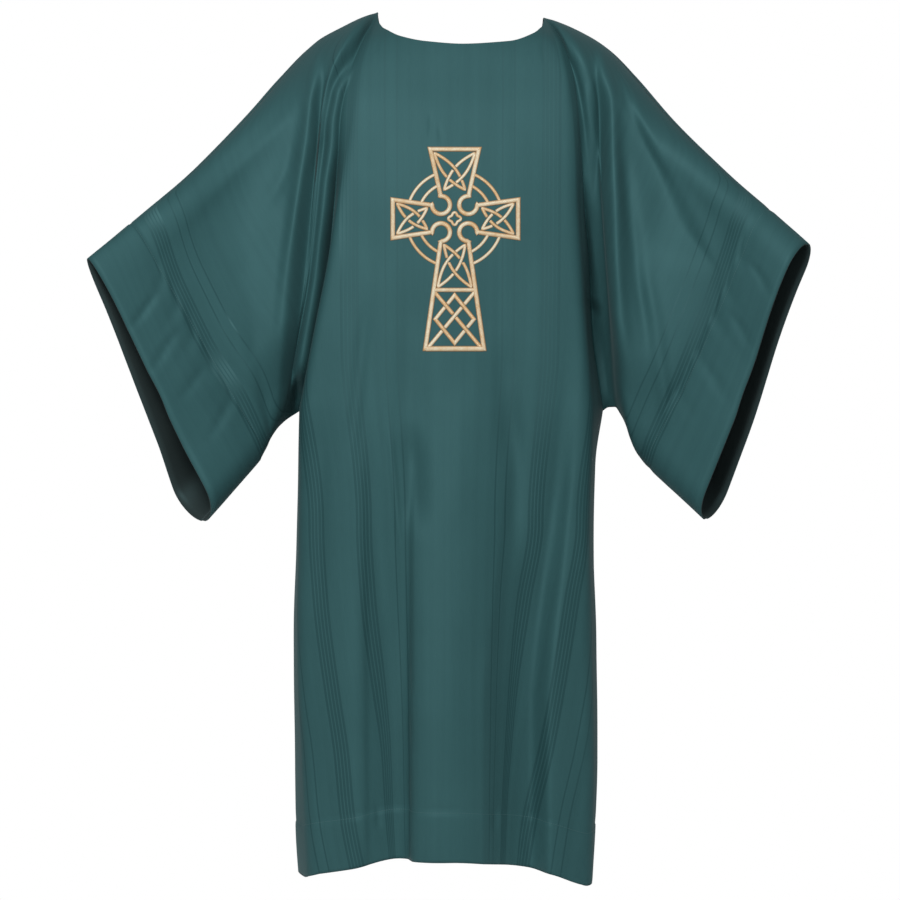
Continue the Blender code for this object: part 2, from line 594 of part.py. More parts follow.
def arc(middle, radius, start, end, steps):
    """Points of an arc, in degrees."""
    turns = [math.radians(start + (end - start) * k / steps) for k in range(steps + 1)]
    return [(middle[0] + radius * math.cos(t), middle[1] + radius * math.sin(t)) for t in turns]


def cross_bands():
    """Every band of the cross: its width, whether it closes, and its points."""
    bands = []
    outline = []
    for k, (turn, reach, half_out, root, half_in) in enumerate(ARM_TABLE):
        side = [(root, half_in), (reach, half_out), (reach, -half_out), (root, -half_in)]
        outline += stepped(turned(side, turn), BAND_STEP)
        after = turn - 45
        middle = (math.copysign(NOTCH_AT, math.cos(math.radians(after))),
                  math.copysign(NOTCH_AT, math.sin(math.radians(after))))
        outline += arc(middle, NOTCH, turn - 5, turn - 5 + 280, 9)[1:-1]
    bands.append((FRAME_WIDE, True, outline))
    for radius in RINGS:
        for k, (turn, reach, half_out, root, half_in) in enumerate(ARM_TABLE):
            other = ARM_TABLE[(k + 1) % 4]
            ends = []
            for arm, way in ((ARM_TABLE[k], -1), (other, 1)):
                flare = (arm[2] - arm[4]) / (arm[1] - arm[3])
                half = arm[4] + (radius - arm[3]) * flare
                half = arm[4] + (math.sqrt(radius ** 2 - half ** 2) - arm[3]) * flare
                ends.append(arm[0] + way * math.degrees(math.asin((half + 0.001) / radius)))
            steps = 5 if radius == RINGS[0] else 4
            end = ends[1] if ends[1] < ends[0] else ends[1] - 360
            bands.append((LINE_WIDE, False, arc((0, 0), radius, ends[0], end, steps)))
    for turn, inner, inner_half, outer, outer_half, wide in LOOPS:
        for side in (1, -1):
            start = np.array((inner, side * inner_half))
            end = np.array((outer, -side * outer_half))
            along = end - start
            out = np.array((-along[1], along[0])) / np.hypot(*along)
            loop = []
            for way in (1, -1):
                for k in range(5):
                    share = k / 5 if way == 1 else 1 - k / 5
                    bulge = way * wide * math.sin(math.pi * share) ** 0.9
                    loop.append(tuple(start + along * share + out * bulge))
            bands.append((LINE_WIDE, True, turned(loop, turn)))
    half = 0.5 * LINE_WIDE
    flare = (ARM_TABLE[2][2] - ARM_TABLE[2][4]) / (ARM_TABLE[2][1] - ARM_TABLE[2][3])
    bar = ARM_TABLE[2][4] + (FOOT_BAR - ARM_TABLE[2][3]) * flare
    bands.append((FRAME_WIDE, False, stepped([(-bar, -FOOT_BAR), (bar, -FOOT_BAR)], BAND_STEP)))
    wide, top, low = LOZENGE
    mid = -(top + low) / 2
    bands.append((LINE_WIDE, True, [(0, -top), (wide, mid), (0, -low), (-wide, mid)]))
    for side in (1, -1):
        line = [(side * SALTIRE[0], -SALTIRE[1]), (-side * SALTIRE[2], -SALTIRE[3])]
        bands.append((LINE_WIDE, False, stepped(line, 2 * BAND_STEP)))
    return bands


def band_quads(wide, closed, points):
    """Four-cornered pieces of one band, mitred at its corners."""
    p = np.array(points)
    count = len(p)
    before = np.roll(p, 1, 0)
    after = np.roll(p, -1, 0)
    if not closed:
        before[0] = 2 * p[0] - p[1]
        after[-1] = 2 * p[-1] - p[-2]
    a = (p - before) / np.linalg.norm(p - before, axis=1)[:, None]
    b = (after - p) / np.linalg.norm(after - p, axis=1)[:, None]
    along = a + b
    along = along / np.maximum(np.linalg.norm(along, axis=1), 1e-6)[:, None]
    across = np.stack([-along[:, 1], along[:, 0]], 1)
    mitre = np.minimum(1 / np.maximum((along * b).sum(1), 0.3), 1.9)[:, None]
    left = p + across * mitre * wide / 2
    right = p - across * mitre * wide / 2
    last = count if closed else count - 1
    return [[left[k], right[k], right[(k + 1) % count], left[(k + 1) % count]] for k in range(last)]


def centre_band():
    """The small ring in the middle of the cross."""
    ring = []
    for k in range(16):
        turn = math.pi * k / 8
        reach = CENTRE[1] + (CENTRE[0] - CENTRE[1]) * (0.5 + 0.5 * math.cos(4 * turn))
        ring.append((reach * math.cos(turn), reach * math.sin(turn)))
    return (CENTRE_WIDE, True, ring)


def touching(tris):
    """Points where pieces of the net meet at a point only."""
    edges = {(t[k], t[(k + 1) % 3]) for t in tris for k in range(3)}
    open_ends = [a for a, b in edges if (b, a) not in edges]
    return {v for v in open_ends if open_ends.count(v) > 1}


def flat_net(bands):
    """Bands joined into one flat net of triangles."""
    verts = []
    faces = []
    for band in bands:
        for quad in band_quads(*band):
            faces.append(list(range(len(verts), len(verts) + 4)))
            verts += [tuple(q) for q in quad]
    flat, _, tris, _, _, _ = delaunay_2d_cdt(verts, [], faces, 0, 0.00025)
    middles = np.array([[flat[v] for v in t] for t in tris]).mean(1)
    inside = np.zeros(len(tris), bool)
    for face in faces:
        quad = np.array([verts[v] for v in face])
        side = np.roll(quad, -1, 0) - quad
        away = middles[:, None] - quad[None]
        inside |= (side[:, 0] * away[..., 1] - side[:, 1] * away[..., 0] > 0).all(1)
    size = [np.linalg.norm(np.cross(q[1] - q[0], q[2] - q[0]))
            for q in (np.array([(*flat[v], 0.0) for v in t]) for t in tris)]
    while True:
        used = [list(t) for t, kept in zip(tris, inside) if kept]
        met = touching(used)
        if not met:
            break
        near = [k for k, t in enumerate(tris) if not inside[k] and met & set(t)]
        inside[min(near, key=lambda k: size[k])] = True
    ids = sorted({v for t in used for v in t})
    place = {v: k for k, v in enumerate(ids)}
    points = np.array([flat[v] for v in ids])
    return points, [[place[v] for v in t] for t in used]


def chest_y(x, z):
    """Depth of the front's mesh at places on its panel."""
    right = read(BODY, BODY_COLUMNS, "edge_rx", z)
    left = read(BODY, BODY_COLUMNS, "edge_lx", z)
    a = 2 * (x - right) / (left - right) - 1
    step = 2 * (1 - CORNER) / PANEL_STEPS["front"]
    col = (a + 1 - CORNER) / step
    low = np.floor(col)
    top = top_height("front", a)
    t = (z - top) / (ARMPIT_Z - top)
    falls = np.array(FALL)
    row = np.clip(np.searchsorted(falls, t) - 1, 0, len(falls) - 2)
    down = (t - falls[row]) / (falls[row + 1] - falls[row])
    depth = np.zeros(x.shape)
    for dc, wc in ((0, 1 - (col - low)), (1, col - low)):
        at = -1 + CORNER + (low + dc) * step
        top = top_height("front", at)
        for dr, wr in ((0, 1 - down), (1, down)):
            height = top + (ARMPIT_Z - top) * falls[row + dr]
            depth = depth + wc * wr * body_section("front", at, height)[..., 1]
    return depth


def relief(bands):
    """Bands as one low relief that follows the chest."""
    flat, tris = flat_net(bands)
    x = CROSS_X + flat[:, 0]
    z = CROSS_Z + flat[:, 1]
    y = chest_y(x, z) - CROSS_GAP
    under = np.stack([x, y, z], 1)
    over = np.stack([x, y - CROSS_RELIEF, z], 1)
    count = len(x)
    faces = []
    edges = set()
    for t in tris:
        faces.append([v + count for v in t])
        faces.append(t[::-1])
        for k in range(3):
            edges.add((t[k], t[(k + 1) % 3]))
    for a, b in edges:
        if (b, a) not in edges:
            faces.append([a, b, b + count, a + count])
    return np.concatenate([under, over]), faces


# ---------------------------------------------------------------- build
for stray in list(bpy.data.objects):
    bpy.data.objects.remove(stray)

garment = bpy.data.collections.new("dalmatic")
bpy.context.scene.collection.children.link(garment)


def material(name, colour, rough):
    """Cloth or thread of one colour."""
    mat = bpy.data.materials.new(name)
    mat.use_nodes = True
    shader = mat.node_tree.nodes["Principled BSDF"]
    shader.inputs["Base Color"].default_value = (*colour, 1)
    shader.inputs["Roughness"].default_value = rough
    return mat


def solid(name, points, faces, mat):
    """One closed named solid."""
    mesh = bpy.data.meshes.new(name)
    mesh.from_pydata([tuple(p) for p in points], [], [[int(v) for v in f] for f in faces])
    mesh.validate()
    mesh.materials.append(mat)
    made = bpy.data.objects.new(name, mesh)
    garment.objects.link(made)
    return made


GREEN_CLOTH = material("green_cloth", (0.034, 0.115, 0.121), 0.6)
GOLD_THREAD = material("gold_thread", (0.73, 0.45, 0.20), 0.5)

PANELS = {name: panel_surface(name) for name in ("front", "back")}
NORMALS = wall_normals(PANELS)
for panel_name, panel_parts in PANELS.items():
    wall_points, wall_faces = panel_wall(panel_name, panel_parts, NORMALS[panel_name])
    solid(panel_name, wall_points, wall_faces, GREEN_CLOTH)
solid("cross", *relief(cross_bands()), GOLD_THREAD)
solid("cross_centre", *relief([centre_band()]), GOLD_THREAD)
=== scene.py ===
"""Green dalmatic over its solids: front and back panels, hem stitching and the laid gold cross.

Frame: metres, +Z up, the front faces -Y, the wearer's left is +X, the neck points lie at the origin.
"""
import math

import bpy
import numpy as np
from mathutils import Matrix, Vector


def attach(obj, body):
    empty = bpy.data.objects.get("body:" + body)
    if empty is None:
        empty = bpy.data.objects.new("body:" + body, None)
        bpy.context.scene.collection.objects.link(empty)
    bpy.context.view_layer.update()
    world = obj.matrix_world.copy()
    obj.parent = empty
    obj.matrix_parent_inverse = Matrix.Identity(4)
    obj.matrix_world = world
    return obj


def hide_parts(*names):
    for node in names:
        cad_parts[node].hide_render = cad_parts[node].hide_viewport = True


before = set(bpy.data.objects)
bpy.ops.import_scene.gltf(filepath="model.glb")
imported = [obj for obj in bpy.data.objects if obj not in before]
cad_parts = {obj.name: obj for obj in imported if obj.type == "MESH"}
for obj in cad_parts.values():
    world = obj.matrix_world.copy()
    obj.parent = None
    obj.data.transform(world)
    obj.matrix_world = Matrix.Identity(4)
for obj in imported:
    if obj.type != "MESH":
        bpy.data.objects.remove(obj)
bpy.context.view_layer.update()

# ---------------------------------------------------------------- sizes
CLOTH = 0.0013           # cloth thickness
HEM_TURN = 0.0013        # the turned-up hem adds this much inside
HEM_DEPTH = 0.075        # turned-up hem at the foot
SWING = math.radians(29)  # both sleeves swing forward from the body
ARMPIT_Z = -0.586        # height of the armpits
SKIRT = 0.68             # length of the skirt below them
THREAD_PITCH = 0.00042   # from one gold thread to the next
OUT = {"front": -1, "back": 1}      # the way each panel faces along Y
TO_SIDE = {"right": -1, "left": 1}  # the way each sleeve lies along X

# ---------------------------------------------------------------- body sections
# One row a height: the deep fold beside the chest, the chest's edge and the middle, right then left.
# The fold ends at the armpits, where the side seam takes over.
BODY_COLUMNS = ("z", "fold_rx", "fold_ry", "edge_rx", "edge_ry", "mid_y",
                "edge_lx", "edge_ly", "fold_lx", "fold_ly")
BODY = {
    "front": (
        (0.01, -0.1082, 0.01, -0.1025, -0.01, -0.026, 0.136, -0.008, 0.139, 0.015),
        (0.002, -0.1095, -0.006, -0.103, -0.018, -0.044, 0.137, -0.014, 0.1399, 0.01),
        (-0.008, -0.1125, -0.022, -0.104, -0.032, -0.066, 0.139, -0.026, 0.145, -0.012),
        (-0.045, -0.13, -0.064, -0.116, -0.078, -0.088, 0.154, -0.08, 0.166, -0.066),
        (-0.098, -0.148, -0.087, -0.129, -0.1, -0.103, 0.168, -0.101, 0.1795, -0.091),
        (-0.15, -0.158, -0.094, -0.136, -0.111, -0.116, 0.175, -0.112, 0.1855, -0.095),
        (-0.22, -0.164, -0.084, -0.149, -0.115, -0.126, 0.18, -0.116, 0.192, -0.082),
        (-0.29, -0.17, -0.058, -0.165, -0.114, -0.129, 0.1835, -0.116, 0.198, -0.05),
        (-0.37, -0.179, -0.028, -0.179, -0.112, -0.127, 0.189, -0.113, 0.206, -0.02),
        (-0.47, -0.196, -0.002, -0.199, -0.109, -0.124, 0.197, -0.11, 0.211, 0),
        (-0.562, -0.218, 0.003, -0.215, -0.103, -0.122, 0.2034, -0.106, 0.224, 0.002),
        (-0.586, -0.2245, 0.018, -0.2185, -0.101, -0.122, 0.205, -0.105, 0.2285, 0.016),
        (-0.66, -0.2262, 0.008, -0.22, -0.092, -0.122, 0.206, -0.1, 0.2165, 0.008),
        (-0.78, -0.2285, 0.004, -0.2205, -0.088, -0.124, 0.204, -0.096, 0.2125, 0.004),
        (-0.93, -0.233, 0.004, -0.222, -0.086, -0.126, 0.206, -0.092, 0.215, 0.004),
        (-1.1, -0.2295, 0.004, -0.214, -0.086, -0.126, 0.209, -0.088, 0.2165, 0.004),
        (-1.29, -0.224, 0.004, -0.203, -0.088, -0.126, 0.207, -0.084, 0.212, 0.004),
    ),
    "back": (
        (0.01, -0.1082, 0.01, -0.1025, 0.026, 0.05, 0.136, 0.022, 0.139, 0.004),
        (0.002, -0.1098, 0.022, -0.103, 0.04, 0.064, 0.137, 0.036, 0.1399, 0.01),
        (-0.008, -0.1145, 0.036, -0.105, 0.056, 0.078, 0.1395, 0.048, 0.1455, 0.028),
        (-0.045, -0.133, 0.07, -0.119, 0.088, 0.096, 0.156, 0.088, 0.166, 0.07),
        (-0.098, -0.1475, 0.098, -0.131, 0.108, 0.113, 0.164, 0.108, 0.179, 0.098),
        (-0.15, -0.157, 0.108, -0.141, 0.119, 0.126, 0.17, 0.119, 0.185, 0.108),
        (-0.22, -0.163, 0.11, -0.15, 0.126, 0.138, 0.176, 0.126, 0.19, 0.11),
        (-0.29, -0.169, 0.102, -0.159, 0.127, 0.143, 0.181, 0.127, 0.196, 0.102),
        (-0.37, -0.178, 0.086, -0.171, 0.125, 0.143, 0.187, 0.125, 0.202, 0.086),
        (-0.47, -0.195, 0.056, -0.19, 0.122, 0.14, 0.195, 0.121, 0.209, 0.056),
        (-0.562, -0.218, 0.036, -0.211, 0.116, 0.138, 0.204, 0.115, 0.224, 0.035),
        (-0.586, -0.2245, 0.018, -0.216, 0.114, 0.138, 0.206, 0.113, 0.2285, 0.016),
        (-0.66, -0.2262, 0.008, -0.219, 0.104, 0.138, 0.207, 0.104, 0.2165, 0.008),
        (-0.78, -0.2285, 0.004, -0.22, 0.098, 0.141, 0.205, 0.098, 0.2125, 0.004),
        (-0.93, -0.233, 0.004, -0.221, 0.096, 0.145, 0.206, 0.096, 0.215, 0.004),
        (-1.1, -0.2295, 0.004, -0.215, 0.095, 0.147, 0.208, 0.094, 0.2165, 0.004),
        (-1.29, -0.224, 0.004, -0.208, 0.093, 0.147, 0.206, 0.092, 0.212, 0.004),
    ),
}

# Side seams from the armpits to the foot, the same for the front and the back.
SIDE_COLUMNS = ("z", "rx", "ry", "lx", "ly")
SIDE = (
    (-0.586, -0.2245, 0.018, 0.2285, 0.016), (-0.66, -0.2262, 0.008, 0.2175, 0.008),
    (-0.78, -0.2285, 0.004, 0.2145, 0.004), (-0.93, -0.233, 0.004, 0.2185, 0.004),
    (-1.1, -0.231, 0.004, 0.2195, 0.004), (-1.2, -0.23, 0.004, 0.217, 0.004),
    (-1.29, -0.224, 0.004, 0.211, 0.004),
)

# Height of the neckline and of the foot across the panel: -1 is its right edge, +1 its left edge,
# and -2 and +2 are the folds that rise to the neck points.
EDGE_COLUMNS = ("across", "front_z", "back_z")
NECK = (
    (-2, 0.01, 0.01), (-1.6, 0.001, 0.0035), (-1.16, -0.0089, -0.0045), (-1, -0.0171, -0.0095),
    (-0.88, -0.0258, -0.0165), (-0.7, -0.0375, -0.024), (-0.4, -0.0463, -0.029), (0, -0.0505, -0.031),
    (0.5, -0.046, -0.029), (0.8, -0.0325, -0.0235), (0.93, -0.0208, -0.015), (1, -0.0149, -0.0095),
    (1.16, -0.005, -0.0045), (2, 0.002, 0.002),
)
FOOT = (
    (-1.25, -1.2714, -1.2714), (-1, -1.265, -1.27), (-0.7, -1.254, -1.266), (-0.35, -1.24, -1.262),
    (0, -1.24, -1.261), (0.35, -1.247, -1.263), (0.7, -1.261, -1.268), (1, -1.281, -1.275),
    (1.25, -1.277, -1.277),
)

# ---------------------------------------------------------------- sleeves
# The overarm fold runs from the neck point to the cuff's upper corner, the underarm from the armpit
# to the cuff's lower corner. "reach" is the share of the way along.
ARM_COLUMNS = ("reach", "x", "y", "z")
OVERARM = {
    "right": (
        (0, -0.1082, 0.01, 0.01), (0.125, -0.179, 0.0065, -0.0203), (0.225, -0.2231, -0.0083, -0.0581),
        (0.345, -0.2662, -0.0329, -0.1145), (0.465, -0.3089, -0.0578, -0.165),
        (0.575, -0.3511, -0.0822, -0.2124), (0.683, -0.3928, -0.1063, -0.2555),
        (0.79, -0.434, -0.1301, -0.2939), (1, -0.5185, -0.179, -0.37),
    ),
    "left": (
        (0, 0.1399, 0.01, 0.002), (0.115, 0.2013, 0.0042, -0.0236), (0.222, 0.2447, -0.0208, -0.0567),
        (0.32, 0.277, -0.0394, -0.0975), (0.416, 0.3089, -0.0578, -0.139), (0.532, 0.351, -0.0822, -0.1906),
        (0.648, 0.3928, -0.1063, -0.2323), (0.763, 0.434, -0.1301, -0.2707), (1, 0.512, -0.176, -0.348),
    ),
}
UNDERARM = {
    "right": (
        (0, -0.2245, 0.018, -0.586), (0.13, -0.247, -0.001, -0.6015), (0.38, -0.2795, -0.0275, -0.6455),
        (0.565, -0.299, -0.0435, -0.682), (0.74, -0.3225, -0.0614, -0.7115), (1, -0.3604, -0.0923, -0.7476),
    ),
    "left": (
        (0, 0.2285, 0.016, -0.586), (0.08, 0.242, 0.0039, -0.579), (0.18, 0.256, -0.008, -0.594),
        (0.4, 0.2835, -0.0302, -0.652), (0.6, 0.307, -0.049, -0.686), (0.8, 0.3385, -0.075, -0.718),
        (1, 0.3727, -0.1022, -0.7445),
    ),
}

# One row a fold line that falls from the overarm to the underarm: trough, first ridge, valley, second
# ridge, soft valley, plane, plane's end, hem, hem's fold and cuff. The columns are where the line
# starts and ends, how far it bows towards the body high and low, how soft its upper and lower turns
# are, and how far the front and the back stand off the sleeve's middle at 15, 40, 70 and 92 per cent
# of the fall. The back is like the front where its numbers are left out.
LINE_COLUMNS = ("over", "under", "bow_hi", "bow_lo", "turn_hi", "turn_lo", "f15", "f40", "f70", "f92",
                "b15", "b40", "b70", "b92")
LINES = {
    "right": (
        (0.022, 0.048, -0.019, -0.001, 0.12, 0.06, 0.094, 0.09, 0.032, 0.008, 0.083, 0.097, 0.062, 0.018),
        (0.048, 0.11, -0.028, -0.006, 0.12, 0.1, 0.104, 0.106, 0.088, 0.05, 0.094, 0.112, 0.094, 0.05),
        (0.159, 0.185, 0.003, 0.004, 0.12, 0.1, 0.09, 0.096, 0.084, 0.054, 0.086, 0.102, 0.086, 0.05),
        (0.208, 0.28, -0.004, -0.018, 0.12, 0.12, 0.088, 0.104, 0.1, 0.062, 0.08, 0.102, 0.096, 0.062),
        (0.284, 0.345, -0.01, -0.03, 0.12, 0.12, 0.07, 0.088, 0.09, 0.06, 0.068, 0.086, 0.086, 0.06),
        (0.433, 0.38, -0.024, -0.034, 0.12, 0.12, 0.054, 0.07, 0.08, 0.058, 0.054, 0.07, 0.078, 0.058),
        (0.655, 0.42, -0.02, -0.016, 0.14, 0.12, 0.04, 0.052, 0.066, 0.058, 0.042, 0.054, 0.066, 0.058),
        (0.857, 0.46, -0.004, -0.004, 0.2, 0.12, 0.028, 0.038, 0.05, 0.058),
        (0.861, 0.47, -0.004, -0.004, 0.2, 0.12, 0.028, 0.038, 0.05, 0.058),
        (1, 1, 0.003, 0.001, 0.25, 0.12, 0.022, 0.031, 0.043, 0.06),
    ),
    "left": (
        (0.026, 0.048, -0.021, -0.006, 0.12, 0.06, 0.098, 0.086, 0.03, 0.008, 0.083, 0.097, 0.062, 0.018),
        (0.06, 0.105, -0.024, -0.012, 0.12, 0.1, 0.104, 0.092, 0.042, 0.02, 0.094, 0.112, 0.094, 0.05),
        (0.15, 0.17, -0.007, 0, 0.12, 0.1, 0.092, 0.092, 0.078, 0.048, 0.086, 0.102, 0.086, 0.05),
        (0.21, 0.27, -0.014, -0.01, 0.12, 0.12, 0.092, 0.104, 0.098, 0.06, 0.08, 0.102, 0.096, 0.062),
        (0.3, 0.345, -0.02, -0.024, 0.12, 0.12, 0.074, 0.09, 0.09, 0.06, 0.068, 0.086, 0.086, 0.06),
        (0.446, 0.4, -0.024, -0.034, 0.12, 0.12, 0.054, 0.07, 0.078, 0.056),
        (0.672, 0.435, -0.024, -0.03, 0.14, 0.12, 0.042, 0.052, 0.06, 0.052, 0.042, 0.054, 0.06, 0.052),
        (0.825, 0.47, -0.006, -0.01, 0.12, 0.12, 0.034, 0.036, 0.042, 0.046),
        (0.829, 0.48, -0.006, -0.01, 0.12, 0.12, 0.034, 0.036, 0.042, 0.046),
        (1, 1, 0.004, -0.002, 0.1, 0.1, 0.034, 0.031, 0.037, 0.04),
    ),
}

# ---------------------------------------------------------------- folds of the skirt
# Each row is a soft ridge (+) or trough (-): where it lies high and low, the height where it starts
# (it is full at the foot), its depth, and its width to the right and to the left.
FOLDS = {
    "front": (
        (-0.002, -0.006, -0.46, 0.013, 0.06, 0.062), (-0.045, -0.047, -0.55, 0.007, 0.012, 0.05),
        (-0.085, -0.082, -0.42, -0.009, 0.036, 0.03), (-0.15, -0.135, -0.55, 0.005, 0.03, 0.028),
        (0.072, 0.092, -0.2, -0.012, 0.034, 0.045), (0.15, 0.145, -0.6, 0.005, 0.03, 0.03),
        (-0.04, -0.06, -0.14, -0.003, 0.025, 0.025),
    ),
    "back": (
        (0.01, 0.015, -0.4, 0.012, 0.05, 0.055), (-0.075, -0.065, -0.34, -0.011, 0.04, 0.032),
        (-0.14, -0.125, -0.5, 0.006, 0.034, 0.03), (0.085, 0.085, -0.3, -0.01, 0.034, 0.042),
        (0.15, 0.145, -0.55, 0.006, 0.032, 0.032),
    ),
}

CORNER = 0.07            # share of the half panel that rounds into the corner
CORNER_WALL = 0.16       # share of the side wall that does
CHEST_POWER = 2.2        # how squarely the panel turns back towards its edges
FOLDS_FULL = -1.26       # height where the folds have run out to their foot
FOLDS_FADE = 0.15        # share of the half panel over which the folds fade at its edges
ARMPIT_OUT = (0.35, 0.0, -0.94)  # the cloth faces this way at the armpits, mirrored on the right


def curve(at, knots, values):
    """Cubic through the rows of a table that keeps to their rise and fall and holds beyond its ends."""
    knots = np.asarray(knots, float)
    values = np.asarray(values, float)
    if knots[0] > knots[-1]:
        knots = knots[::-1]
        values = values[::-1]
    gap = np.diff(knots)
    rise = np.diff(values) / gap
    both = rise[:-1] * rise[1:]
    slope = np.zeros(len(values))
    slope[1:-1] = np.where(both > 0, 2 * both / np.where(both > 0, rise[:-1] + rise[1:], 1), 0)
    slope[0] = rise[0]
    slope[-1] = rise[-1]
    at = np.clip(at, knots[0], knots[-1])
    k = np.clip(np.searchsorted(knots, at) - 1, 0, len(gap) - 1)
    u = (at - knots[k]) / gap[k]
    return ((1 + 2 * u) * (1 - u) ** 2 * values[k] + u * (1 - u) ** 2 * gap[k] * slope[k]
            + u * u * (3 - 2 * u) * values[k + 1] + u * u * (u - 1) * gap[k] * slope[k + 1])


def read(table, columns, name, at):
    """Value of one named column of a table at the given places of its first column."""
    k = columns.index(name)
    return curve(at, [row[0] for row in table], [row[k] for row in table])


def ease(v):
    """Soft step from 0 to 1."""
    v = np.clip(v, 0.0, 1.0)
    return v * v * (3 - 2 * v)


def fold_relief(layer, x, z):
    """How far the skirt's folds stand out at a place on the panel."""
    out = np.zeros(np.broadcast(x, z).shape)
    for x_top, x_foot, z_start, depth, wide_r, wide_l in FOLDS[layer]:
        fall = (z - z_start) / (FOLDS_FULL - z_start)
        line = x_top + (x_foot - x_top) * np.clip(fall, 0, 1)
        side = np.where(x < line, wide_r, wide_l)
        out = out + depth * ease(fall * 1.3) * np.exp(-((x - line) / side) ** 2)
    return out


def body_section(layer, a, z):
    """Point of the body at height z; a runs -2 right fold, -1..1 panel, 2 left fold."""
    def at(name):
        """Value of one named column of the panel's table at the heights."""
        return read(BODY[layer], BODY_COLUMNS, name, z)

    def face(v):
        """Place between the panel's edges: its depth goes from the middle's to the edge's by a power."""
        v = np.clip(v, -1, 1)
        x = at("edge_rx") + (at("edge_lx") - at("edge_rx")) * (v + 1) / 2
        edge = np.where(v < 0, at("edge_ry"), at("edge_ly"))
        y = at("mid_y") + (edge - at("mid_y")) * np.abs(v) ** CHEST_POWER
        y = y + OUT[layer] * fold_relief(layer, x, z) * ease((1 - np.abs(v)) / FOLDS_FADE)
        return np.stack([x, y], -1)

    def wall(w, side):
        """Place in a side wall: w is 0 at its fold or seam and 1 at the panel's edge."""
        fx, fy = (np.where(z < ARMPIT_Z, read(SIDE, SIDE_COLUMNS, side + c, z), at("fold_" + side + c))
                  for c in "xy")
        corner = face(np.full_like(z, -1.0 if side == "r" else 1.0))
        return np.stack([fx + (corner[..., 0] - fx) * w ** 1.5, fy + (corner[..., 1] - fy) * w], -1)

    v = np.abs(a)
    out = face(a)
    for side, s in (("r", -1.0), ("l", 1.0)):
        mine = (a * s > 0)
        far = wall(np.clip(2 - v, 0, 1), side)
        out = np.where((mine & (v >= 1 + CORNER_WALL - 1e-9))[..., None], far, out)
        turn = mine & (v > 1 - CORNER + 1e-9) & (v < 1 + CORNER_WALL - 1e-9)
        u = np.clip((v - 1 + CORNER) / (CORNER + CORNER_WALL), 0, 1)[..., None]
        start = face(np.full_like(z, s * (1 - CORNER)))
        middle = face(np.full_like(z, s))
        end = wall(np.full_like(z, 1 - CORNER_WALL), side)
        arc = (1 - u) ** 2 * start + 2 * u * (1 - u) * middle + u * u * end
        out = np.where(turn[..., None], arc, out)
    return np.concatenate([out, z[..., None]], -1)


# ---------------------------------------------------------------- fine grids
TURN_ROWS = 13           # rows in the rolled overarm and in the underarm
FALL_ROWS = 88           # rows between them
ROLL = 0.12              # share of the fall that each rolled end takes
SKIRT_ROWS = 84          # rows from the armpits to the foot
HEM_ROWS = 14            # those of them in the hem
PANEL_COLUMNS = 112      # columns across a panel
WALL_COLUMNS = 12        # columns in each side wall
CORNER_COLUMNS = 8       # columns round each corner between them
SLEEVE_STEPS = (5, 11, 8, 7, 7, 8, 7, 6, 2, 10)  # columns before each fold line of a sleeve

# Woven satin stripes lie along the grain at these distances from the middle of the cloth.
BANDS = (0.125, 0.195, 0.592)
BAND_HALF = 0.0122       # half width of a band
STRIPE_PITCH = 0.0050    # from one stripe of a band to the next
PAIRS = (0.0725, 0.245, 0.5525)
PAIR_HALF = 0.0075       # from the middle of a pair of stripes to each
LINE_HALF = 0.0011       # half width of a stripe of a pair
STITCH_AT = {"right": 8.0, "left": 9.2}  # place of the cuff hem's stitching among the fold lines
HEM_REACH = ((0, 8, 9, 10), (-0.3, 0, 0.003, 0.079))  # fold lines, and how far they lie past the hem
CUFF_AT = 0.700          # distance of the cuff's edge from the middle of the flat cloth
# How far the drape bows the stripes of a sleeve inwards: shares of the fall, and the distances there.
STRIPE_BOW = {
    "right": ((0.0, 0.3, 0.5, 0.75, 1.0), (0.004, -0.010, -0.008, 0.006, 0.012)),
    "left": ((0.0, 0.3, 0.6, 1.0), (-0.006, -0.010, -0.004, 0.006)),
}
# The way up along the grain of each sleeve.
GRAIN = {"right": (0.377, 0.207, -0.902), "left": (-0.331, 0.176, -0.927)}
# How far the folds of the skirt take the outer cloth in towards the middle, by height.
TAKE_IN_COLUMNS = ("z", "right", "left", "chest")
TAKE_IN = (
    (-0.1, 0, 0, 0.84), (-0.5, 0, 0, 0.86), (-0.75, 0, 0, 1), (-0.86, 0.006, 0.017, 1),
    (-1, 0.024, 0.04, 1), (-1.08, 0.036, 0.055, 1), (-1.18, 0.046, 0.078, 1), (-1.29, 0.068, 0.096, 1),
)

# The front's creases, slack and long tuck are given as they are seen from the front: steps to
# the right of the view's left edge and down from its top, which in_metres() turns into x and z.
VIEW_STEP = 0.00147 * 4.4 / 4.44  # one step at the depth of the chest
VIEW_MIDDLE = 450        # steps to the middle of the view, both ways
EYE_Z = -0.644           # height of the view's middle


def in_metres(places):
    """Places x, z in metres, to a tenth of a millimetre: the step times the steps from the middle."""
    across, down = np.reshape(places, (-1, 2)).T
    x = (across - VIEW_MIDDLE) * VIEW_STEP
    return np.round(np.stack([x, EYE_Z - (down - VIEW_MIDDLE) * VIEW_STEP], -1), 4)


